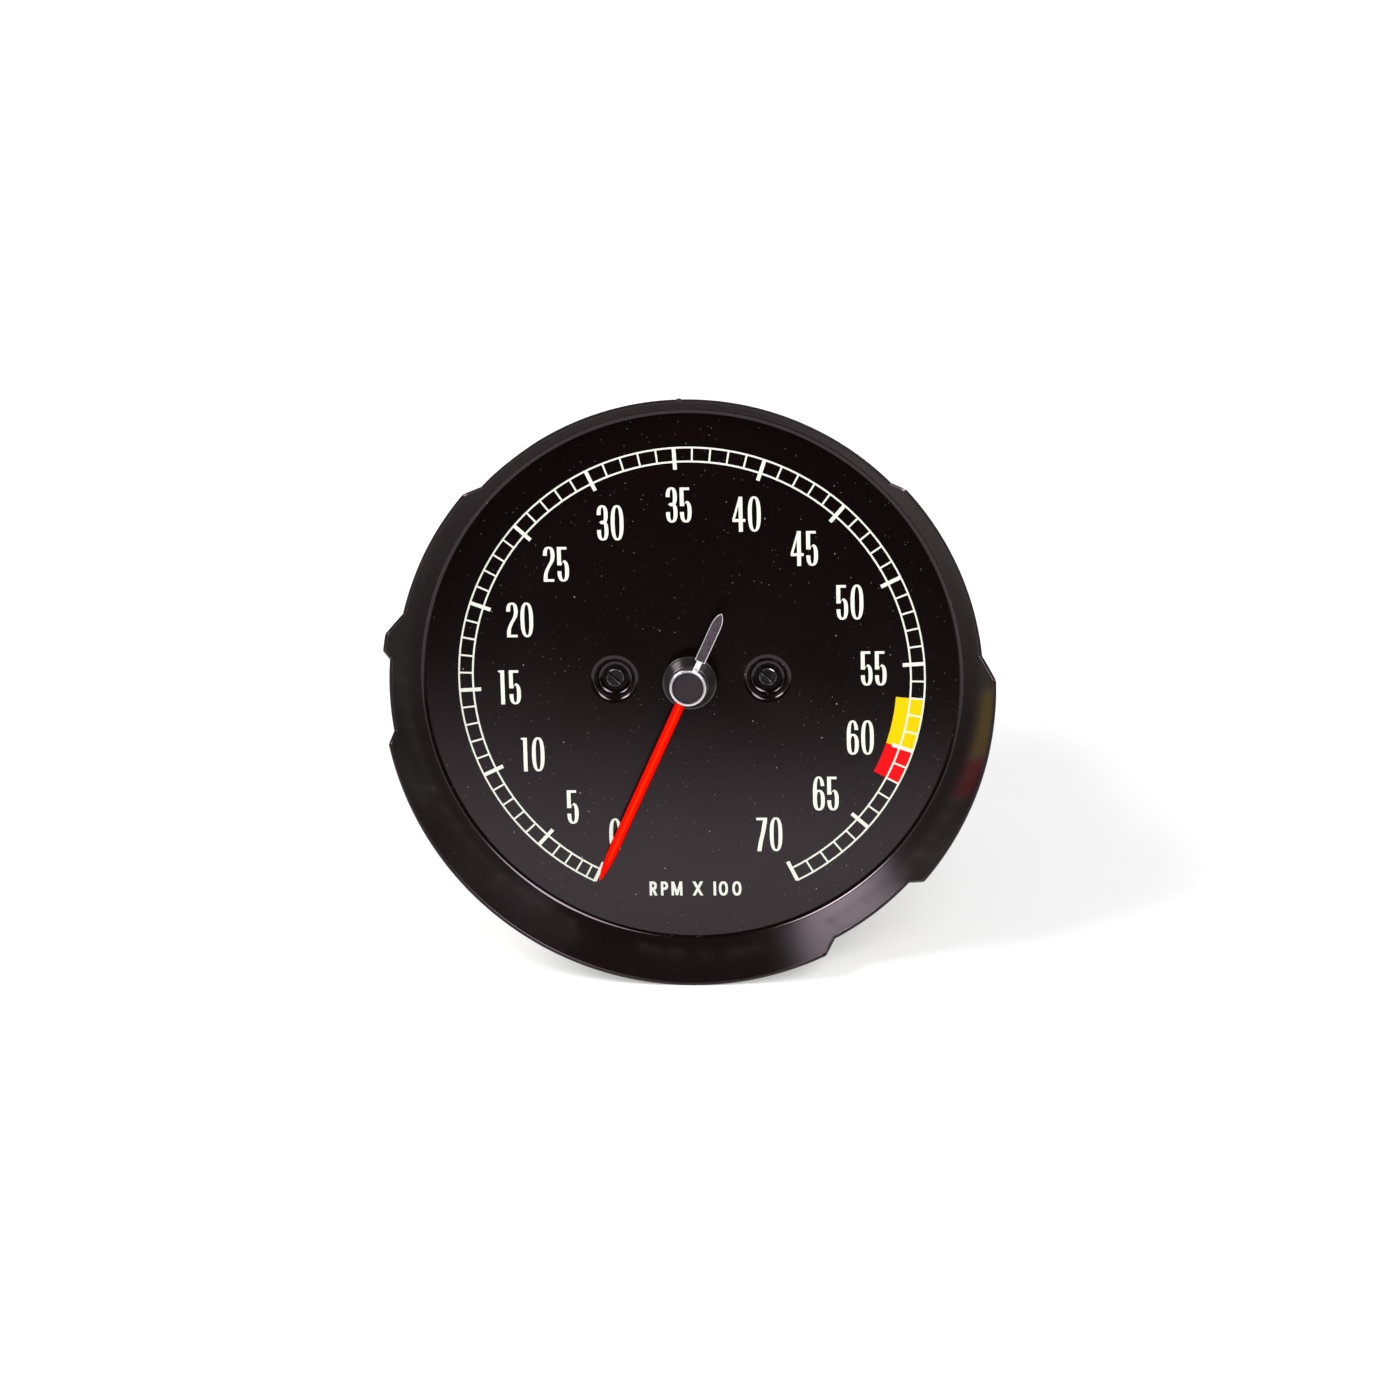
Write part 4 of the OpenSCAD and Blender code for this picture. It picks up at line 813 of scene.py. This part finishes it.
hub_black, tree, shader, place = finish_of("hub_black", HUB_COLOUR, 0.2)
colour_in(tree, shader, dust(tree, place, *HUB_DUST), HUB_COLOUR, (0.2, 0.18, 0.18))
satin = ramp(tree, noise(tree, place, 300, 3), 0.3, 0.7, 0.18, 0.26)
tree.links.new(satin, shader.inputs["Roughness"])
relief(tree, shader, noise(tree, place, 500, 1), 0.003)
hub.data.materials.append(hub_black)
smooth(hub, 30)
set_in(hub, "pointer", "hub_black", "pointer_hub")

# A turned and polished ring of brass, plated with chrome, clamps the pointer on the hub. Its
# inner lip is chamfered, and blacked together with the plug that closes it.
RING_R, RING_WALL, RING_Z, RING_TOP, RING_LIP = 4.6, 0.85, 9.0, 11.0, 0.22
RING_BREAK, RING_ROUND = 0.12, 0.3
CAP_COLOUR = (0.020, 0.016, 0.018)
inner = RING_R - RING_WALL
ring = turned("ring", [
    (inner, RING_Z), (RING_R - RING_BREAK, RING_Z), (RING_R, RING_Z + RING_BREAK),
    *arc(RING_R - RING_ROUND, RING_TOP - RING_ROUND, RING_ROUND, 0, 90, 6),
    (inner + RING_LIP, RING_TOP), (inner, RING_TOP - RING_LIP), (inner, RING_Z),
], 128)
chrome, tree, shader, place = finish_of("ring_chrome", (0.80, 0.76, 0.78), 0.3, 1.0)
handled = ramp(tree, noise(tree, place, 250, 3), 0.3, 0.75, 0.27, 0.34)
tree.links.new(handled, shader.inputs["Roughness"])
cap_black, tree, shader, place = finish_of("cap_black", CAP_COLOUR, 0.5)
cap_grain = noise(tree, place, 3000, 3, 0.6)
colour_in(tree, shader, ramp(tree, cap_grain, 0.3, 0.7), (0.012, 0.010, 0.011), CAP_COLOUR)
shader.inputs["Specular IOR Level"].default_value = 0.3
shader.inputs["Specular Tint"].default_value = (1, 0.86, 0.92, 1)
relief(tree, shader, cap_grain, 0.006)
ring.data.materials.append(chrome)
ring.data.materials.append(cap_black)
for face in ring.data.polygons:
    if math.hypot(face.center.x, face.center.y) < inner + RING_LIP - 0.02:
        face.material_index = 1
smooth(ring, 40)
set_in(ring, "pointer", "ring_chrome", "hub_ring")

# A plug of matt charcoal plastic closes the ring, a little below its edge. It is pressed in, and
# a blind hole beneath takes the end of the spindle.
CAP_TOP, CAP_BREAK, CAP_HOLE_TOP = RING_TOP - 0.3, 0.12, RING_Z + 0.8
cap = turned("cap", [
    (PIN_R, RING_Z), (inner, RING_Z), (inner, CAP_TOP - CAP_BREAK), (inner - CAP_BREAK, CAP_TOP),
    (0, CAP_TOP), (0, CAP_HOLE_TOP), (PIN_R, CAP_HOLE_TOP), (PIN_R, RING_Z),
], 96)
cap.data.materials.append(cap_black)
smooth(cap, 40)
set_in(cap, "pointer", "cap_black", "hub_cap")

# The rear case is one deep-drawn shell of 0.75 mm steel, zinc plated and passivated pale grey. It
# stands behind the dish, and its floor is pierced for the ferrule, two screws and three studs.
CASE_R, CASE_DEEP, CASE_EDGE = 57.0, 72.0, 4.0
FLOOR_Z = SHEET - CASE_DEEP
SHANK_R, SHANK_HOLE_R = 7.2, 7.4
CASE_SCREW_X, CASE_SCREW_R, CASE_SCREW_HOLE_R = 28.0, 2.08, 2.28
STUD_AT, STUD_NECK_R = 42.0, 2.0
STUD_CLOCKS = (0, 120, 240)
CASE_BREAK, DRILL_L = 0.15, 3


def machined(name, dark, light, roughness, scale, stretch, depth_mm, metallic=1.0):
    """A worked surface: its colour, gloss and relief all follow the marks of the tool."""
    material, tree, shader, place = finish_of(name, light, roughness, metallic)
    marks = noise(tree, gauge_axes(tree, place, stretch), scale, 4, 0.65)
    colour_in(tree, shader, ramp(tree, marks, 0.3, 0.7), dark, light)
    gloss = ramp(tree, marks, 0.3, 0.7, roughness + 0.08, roughness - 0.06)
    tree.links.new(gloss, shader.inputs["Roughness"])
    relief(tree, shader, marks, depth_mm)
    return material


inside_r = CASE_R - SHEET
case = turned("case_shell", [
    (SHANK_HOLE_R, -CASE_DEEP), (CASE_R - CASE_EDGE, -CASE_DEEP),
    *arc(CASE_R - CASE_EDGE, CASE_EDGE - CASE_DEEP, CASE_EDGE, -81, 0, 9),
    (CASE_R, -SHEET - CASE_BREAK), (CASE_R - CASE_BREAK, -SHEET), (inside_r + CASE_BREAK, -SHEET),
    (inside_r, -SHEET - CASE_BREAK),
    *arc(CASE_R - CASE_EDGE, CASE_EDGE - CASE_DEEP, CASE_EDGE - SHEET, 0, -90, 9),
    (SHANK_HOLE_R, FLOOR_Z), (SHANK_HOLE_R, -CASE_DEEP),
], 144)
holes = [(side * CASE_SCREW_X, 0, CASE_SCREW_HOLE_R) for side in (-1, 1)]
holes += [
    (STUD_AT * math.sin(math.radians(clock)), STUD_AT * math.cos(math.radians(clock)), STUD_NECK_R)
    for clock in STUD_CLOCKS
]
for x, y, r in holes:
    deselect()
    bpy.ops.mesh.primitive_cylinder_add(
        vertices=32, radius=r, depth=DRILL_L, location=(x, y, -CASE_DEEP + SHEET / 2))
    drill = bpy.context.object
    bpy.ops.object.transform_apply(location=True)
    combine(case, drill, "DIFFERENCE")
zinc_plate, tree, shader, place = finish_of("zinc_plate", (0.42, 0.42, 0.40), 0.6, 0.35)
upright = gauge_axes(tree, place, (1, 1, 14))
drawn_lines = noise(tree, upright, 420, 4, 0.7)
clouds = noise(tree, place, 46, 5, 0.62)
bloom = ramp(tree, clouds, 0.3, 0.8)
plain = blend(tree, ramp(tree, drawn_lines, 0.3, 0.7), (0.33, 0.335, 0.33), (0.45, 0.45, 0.44))
colour_in(tree, shader, bloom, plain, (0.43, 0.42, 0.37))
stained = maths(tree, "MULTIPLY", ramp(tree, noise(tree, place, 170, 6, 0.7), 0.55, 0.75), 0.16)
gloss = maths(tree, "ADD", ramp(tree, clouds, 0.3, 0.7, 0.55, 0.65), stained)
tree.links.new(gloss, shader.inputs["Roughness"])
relief(tree, shader, drawn_lines, 0.006)
case.data.materials.append(zinc_plate)
smooth(case, 30)
set_in(case, "gauge_body", "case_zinc", "rear_case")

# Two pan-headed machine screws, of bright zinc-plated steel, pass through the case's floor into
# the frame's legs. Their slots stand as they were left when they were driven home.
CASE_HEAD_R, CASE_HEAD_H, CASE_SCREW_L = 3.6, 2.2, 8.0
PAN_SIDE_H, PAN_ROUND, PAN_BREAK, CASE_SCREW_POINT = 1.05, 1.0, 0.12, 0.4
CASE_SLOT_W, CASE_SLOT_DEEP, CASE_SLOT_BEVEL, CASE_SLOT_TURNS = 1.01, 1.21, 0.08, {-1: -15, 1: 85}
bright_steel = machined(
    "bright_steel", (0.42, 0.42, 0.43), (0.70, 0.70, 0.71), 0.26, 1500, (9, 9, 1), 0.006)
screw = turned("case_screw", [
    (0, -CASE_SCREW_L), (CASE_SCREW_R - CASE_SCREW_POINT, -CASE_SCREW_L),
    (CASE_SCREW_R, CASE_SCREW_POINT - CASE_SCREW_L), (CASE_SCREW_R, 0),
    (CASE_HEAD_R - PAN_BREAK, 0), (CASE_HEAD_R, PAN_BREAK), (CASE_HEAD_R, PAN_SIDE_H),
    *arc(CASE_HEAD_R - PAN_ROUND, CASE_HEAD_H - PAN_SIDE_H, PAN_ROUND, 10, 80, 6),
    (1.6, CASE_HEAD_H - 0.02), (0, CASE_HEAD_H),
], 64)
screw.data.materials.append(bright_steel)
for side in (-1, 1):
    copy = copy_of(screw, "case_screw_left" if side < 0 else "case_screw_right")
    slot_turn = CASE_SLOT_TURNS[side]
    cut_slot(copy, 3 * CASE_HEAD_R, CASE_SLOT_W, CASE_SLOT_DEEP, CASE_HEAD_H, slot_turn)
    bevel_edges(copy, lambda edge, a, b: sharp(edge) and min(a.z, b.z) > 1, CASE_SLOT_BEVEL, 1)
    smooth(copy, 35)
    turned_round = Matrix.Rotation(math.pi, 4, "X")
    copy.data.transform(Matrix.Translation((side * CASE_SCREW_X, 0, -CASE_DEEP)) @ turned_round)
    set_in(copy, "gauge_body", "bright_steel", "case_screws")
bpy.data.objects.remove(screw)

# Three studs, of number 10 size with 32 threads to the inch, hold the gauge to its panel. Their
# heads are inside the case's floor; each is riveted through it and its thread points backwards.
STUD_R, STUD_L, STUD_PITCH = 2.41, 16.0, 25.4 / 32
# a thread's depth is this share of its pitch; the core ends just below the thread's valleys
THREAD_SHARE, CORE_BELOW, END_BELOW = 0.6, 0.1, 0.3


def threaded(name, core, radius, pitch, start, end, around, material):
    """A turned core with a rolled thread round it: the rows of a grid follow the helix."""
    depth = THREAD_SHARE * pitch
    shares = (0, 0, 0.5, 1, 1, 0.5)
    rows = round((end - start) / pitch) * len(shares)
    step = (end - start) / rows
    deselect()
    bpy.ops.mesh.primitive_grid_add(
        x_subdivisions=around, y_subdivisions=rows + len(shares), size=1)
    thread = bpy.context.object
    for v in thread.data.vertices:
        column = round((v.co.x + 0.5) * around)
        row = round((v.co.y + 0.5) * (rows + len(shares))) - len(shares)
        z = start + (row + len(shares) * column / around) * step
        z = min(max(z, start), end)
        root = radius - depth
        crest = min((z - start) / pitch, (end - z) / pitch, 1)
        r = root + depth * crest * (1 - shares[row % len(shares)])
        if z in (start, end):
            r = root - END_BELOW
        a = 2 * math.pi * column / around
        v.co = (r * math.cos(a), r * math.sin(a), z)
    bpy.ops.object.mode_set(mode="EDIT")
    bpy.ops.mesh.select_all(action="SELECT")
    bpy.ops.mesh.remove_doubles(threshold=WELD)
    select_open_edges(thread, lambda co: True)
    bpy.ops.mesh.bridge_edge_loops()
    bpy.ops.mesh.select_all(action="SELECT")
    bpy.ops.mesh.normals_make_consistent(inside=False)
    bpy.ops.object.mode_set(mode="OBJECT")
    piece = turned(name, core, around)
    combine(piece, thread, "UNION")
    no_slivers(piece)
    piece.data.materials.append(material)
    return piece


stud_head_r = STUD_NECK_R + 1.6
stud_root = STUD_R - THREAD_SHARE * STUD_PITCH - CORE_BELOW
stud_zinc = machined(
    "stud_zinc", (0.45, 0.45, 0.43), (0.66, 0.65, 0.60), 0.32, 1800, (5, 5, 1), 0.005)
stud = threaded("stud", [
    (0, -1.75), (stud_head_r - 0.15, -1.75), (stud_head_r, -1.6),
    (stud_head_r, -SHEET), (STUD_NECK_R, -SHEET), (STUD_NECK_R, 0), (STUD_R - 0.15, 0),
    (STUD_R, 0.15), (STUD_R, 0.9), (stud_root, 1.3), (stud_root, STUD_L - 0.6),
    (stud_root - 0.55, STUD_L), (0, STUD_L),
], STUD_R, STUD_PITCH, start=1.1, end=STUD_L - 0.5, around=32, material=stud_zinc)
smooth(stud, 26)
for clock in STUD_CLOCKS:
    copy = copy_of(stud, "mounting_stud_" + str(clock))
    place = Matrix.Translation((0, STUD_AT, -CASE_DEEP))
    copy.data.transform(at_clock(clock) @ place @ Matrix.Rotation(math.pi, 4, "X"))
    set_in(copy, "gauge_body", "case_zinc", "mounting_studs")
bpy.data.objects.remove(stud)

# The ferrule takes the drive cable's nut: turned steel with a 5/8 inch thread, 18 to the inch. Its
# shank screws into the frame, its shoulder clamps the case, and its bore centres the cable.
FERRULE_R, FERRULE_L, FERRULE_PITCH = 7.94, 20.0, 25.4 / 18
SHANK_L, CABLE_BORE_R, CABLE_BORE_L, SHAFT_WAY_R = 10.65, 5.5, 12.0, 3.8
SHOULDER_L, SHOULDER_BREAK, FERRULE_BREAK = 1.8, 0.2, 0.3
ferrule_root = FERRULE_R - THREAD_SHARE * FERRULE_PITCH - CORE_BELOW
ferrule_zinc = machined(
    "ferrule_zinc", (0.46, 0.44, 0.38), (0.68, 0.65, 0.56), 0.3, 900, (6, 6, 1), 0.008)
ferrule = threaded("ferrule", [
    (SHAFT_WAY_R, -SHANK_L), (SHANK_R - FERRULE_BREAK, -SHANK_L),
    (SHANK_R, FERRULE_BREAK - SHANK_L), (SHANK_R, 0), (FERRULE_R - SHOULDER_BREAK, 0),
    (FERRULE_R, SHOULDER_BREAK), (FERRULE_R, SHOULDER_L), (ferrule_root, 2.4),
    (ferrule_root, FERRULE_L - 0.5), (ferrule_root - 0.5, FERRULE_L),
    (CABLE_BORE_R + FERRULE_BREAK, FERRULE_L), (CABLE_BORE_R, FERRULE_L - FERRULE_BREAK),
    (CABLE_BORE_R, FERRULE_L - CABLE_BORE_L), (SHAFT_WAY_R, FERRULE_L - CABLE_BORE_L),
    (SHAFT_WAY_R, -SHANK_L),
], FERRULE_R, FERRULE_PITCH, start=2.1, end=FERRULE_L - 0.4, around=72, material=ferrule_zinc)
smooth(ferrule, 26)
ferrule.data.transform(Matrix.Translation((0, 0, -CASE_DEEP)) @ Matrix.Rotation(math.pi, 4, "X"))
set_in(ferrule, "gauge_body", "case_zinc", "cable_ferrule")

# Inside, the steel pieces are turned from bright bar or pressed from bright sheet, and oiled. The
# drive shaft's end, with its square socket for the cable, can be seen up the ferrule's bore.
dress(
    bright_steel, "bright_steel", "spindle", "stop_pin", "bridge_screws", "regulator_arm",
    "compensator_ring", "drive_shaft", "field_cup")

# The bridge, its bush and the collets are cut from brass. The magnet's carrier and the boss that
# holds the cup to the spindle are turned from it, and pressed on.
brass = machined("brass", (0.50, 0.33, 0.10), (0.74, 0.53, 0.22), 0.3, 1100, (7, 7, 1), 0.006)
dress(
    brass, "brass", "stop_arm", "bridge", "front_bush", "hairspring_stud", "spring_collet",
    "cup_boss", "magnet_carrier")

# The hairspring is a flat ribbon of phosphor bronze, rolled, and coiled in a spiral. Its inner
# end is pinned in the collet on the spindle, and its outer end in the stud on the regulator.
spring_bronze = machined(
    "spring_bronze", (0.42, 0.24, 0.11), (0.66, 0.42, 0.22), 0.28, 2400, (1, 1, 6), 0.003)
dress(spring_bronze, "spring_bronze", "hairspring")

# The speed cup is spun from thin soft aluminium, so that it is light and the magnet drags it. Its
# floor is fixed on a brass boss that is pressed on the spindle.
cup_aluminium = machined(
    "cup_aluminium", (0.60, 0.60, 0.61), (0.82, 0.82, 0.83), 0.34, 900, (10, 10, 1), 0.005)
dress(cup_aluminium, "cup_aluminium", "speed_cup")

# The magnet is a ring of hard alloy, cast and ground: dark grey where it was cast and brighter
# where ground. Its carrier holds it on the drive shaft.
magnet_alloy = machined(
    "magnet_alloy", (0.16, 0.155, 0.16), (0.36, 0.35, 0.36), 0.42, 700, (1, 1, 1), 0.02)
dress(magnet_alloy, "magnet_alloy", "magnet")

# The spindle's rear bearing is a small red synthetic jewel with a polished hollow. It is pressed
# into the drive shaft's nose.
jewel, tree, shader, place = finish_of("jewel", (0.42, 0.01, 0.03), 0.06)
depths = ramp(tree, noise(tree, place, 1500, 3), 0.3, 0.7)
colour_in(tree, shader, depths, (0.26, 0.004, 0.015), (0.55, 0.02, 0.05))
shader.inputs["Coat Weight"].default_value = 0.6
dress(jewel, "jewel", "pivot_jewel")

# The shaft's bush and thrust washers are pressed from bronze powder and sintered, so that they
# are porous and dark with oil. The bush is pushed into the frame's boss.
bush_bronze = machined(
    "bush_bronze", (0.20, 0.12, 0.06), (0.46, 0.30, 0.17), 0.45, 3000, (1, 1, 1), 0.02)
dress(bush_bronze, "bush_bronze", "thrust_washers", "shaft_bush")

# A wick of wool felt beside the bush holds its oil. It is a soft plug, fibrous and soaked
# yellow-grey, and is pushed into a hole in the side of the frame's boss.
felt, tree, shader, place = finish_of("wick_felt", (0.34, 0.28, 0.18), 0.95)
fibres = noise(tree, place, 2600, 6, 0.8)
colour_in(tree, shader, ramp(tree, fibres, 0.35, 0.65), (0.20, 0.16, 0.10), (0.46, 0.40, 0.28))
shader.inputs["Sheen Weight"].default_value = 0.4
relief(tree, shader, fibres, 0.08)
dress(felt, "wick_felt", "oil_wick")

# The frame is a zinc die casting: a plate with posts, legs and the shaft's boss. It is grey and
# finely grained as it came out of the die.
die_cast, tree, shader, place = finish_of("die_cast", (0.38, 0.38, 0.39), 0.55, 0.8)
skin = noise(tree, place, 1300, 5, 0.7)
flow = noise(tree, place, 90, 4, 0.6)
cast_grey = blend(tree, ramp(tree, flow, 0.35, 0.65), (0.30, 0.30, 0.31), (0.45, 0.45, 0.45))
colour_in(tree, shader, ramp(tree, skin, 0.3, 0.7), (0.24, 0.24, 0.25), cast_grey)
relief(tree, shader, skin, 0.03)
dress(die_cast, "die_cast", "frame")

# A spring clip keeps the shaft from moving forward. It is stamped from steel strip, blackened,
# and snapped into the shaft's groove.
dress(blacked, "black_steel", "shaft_clip")
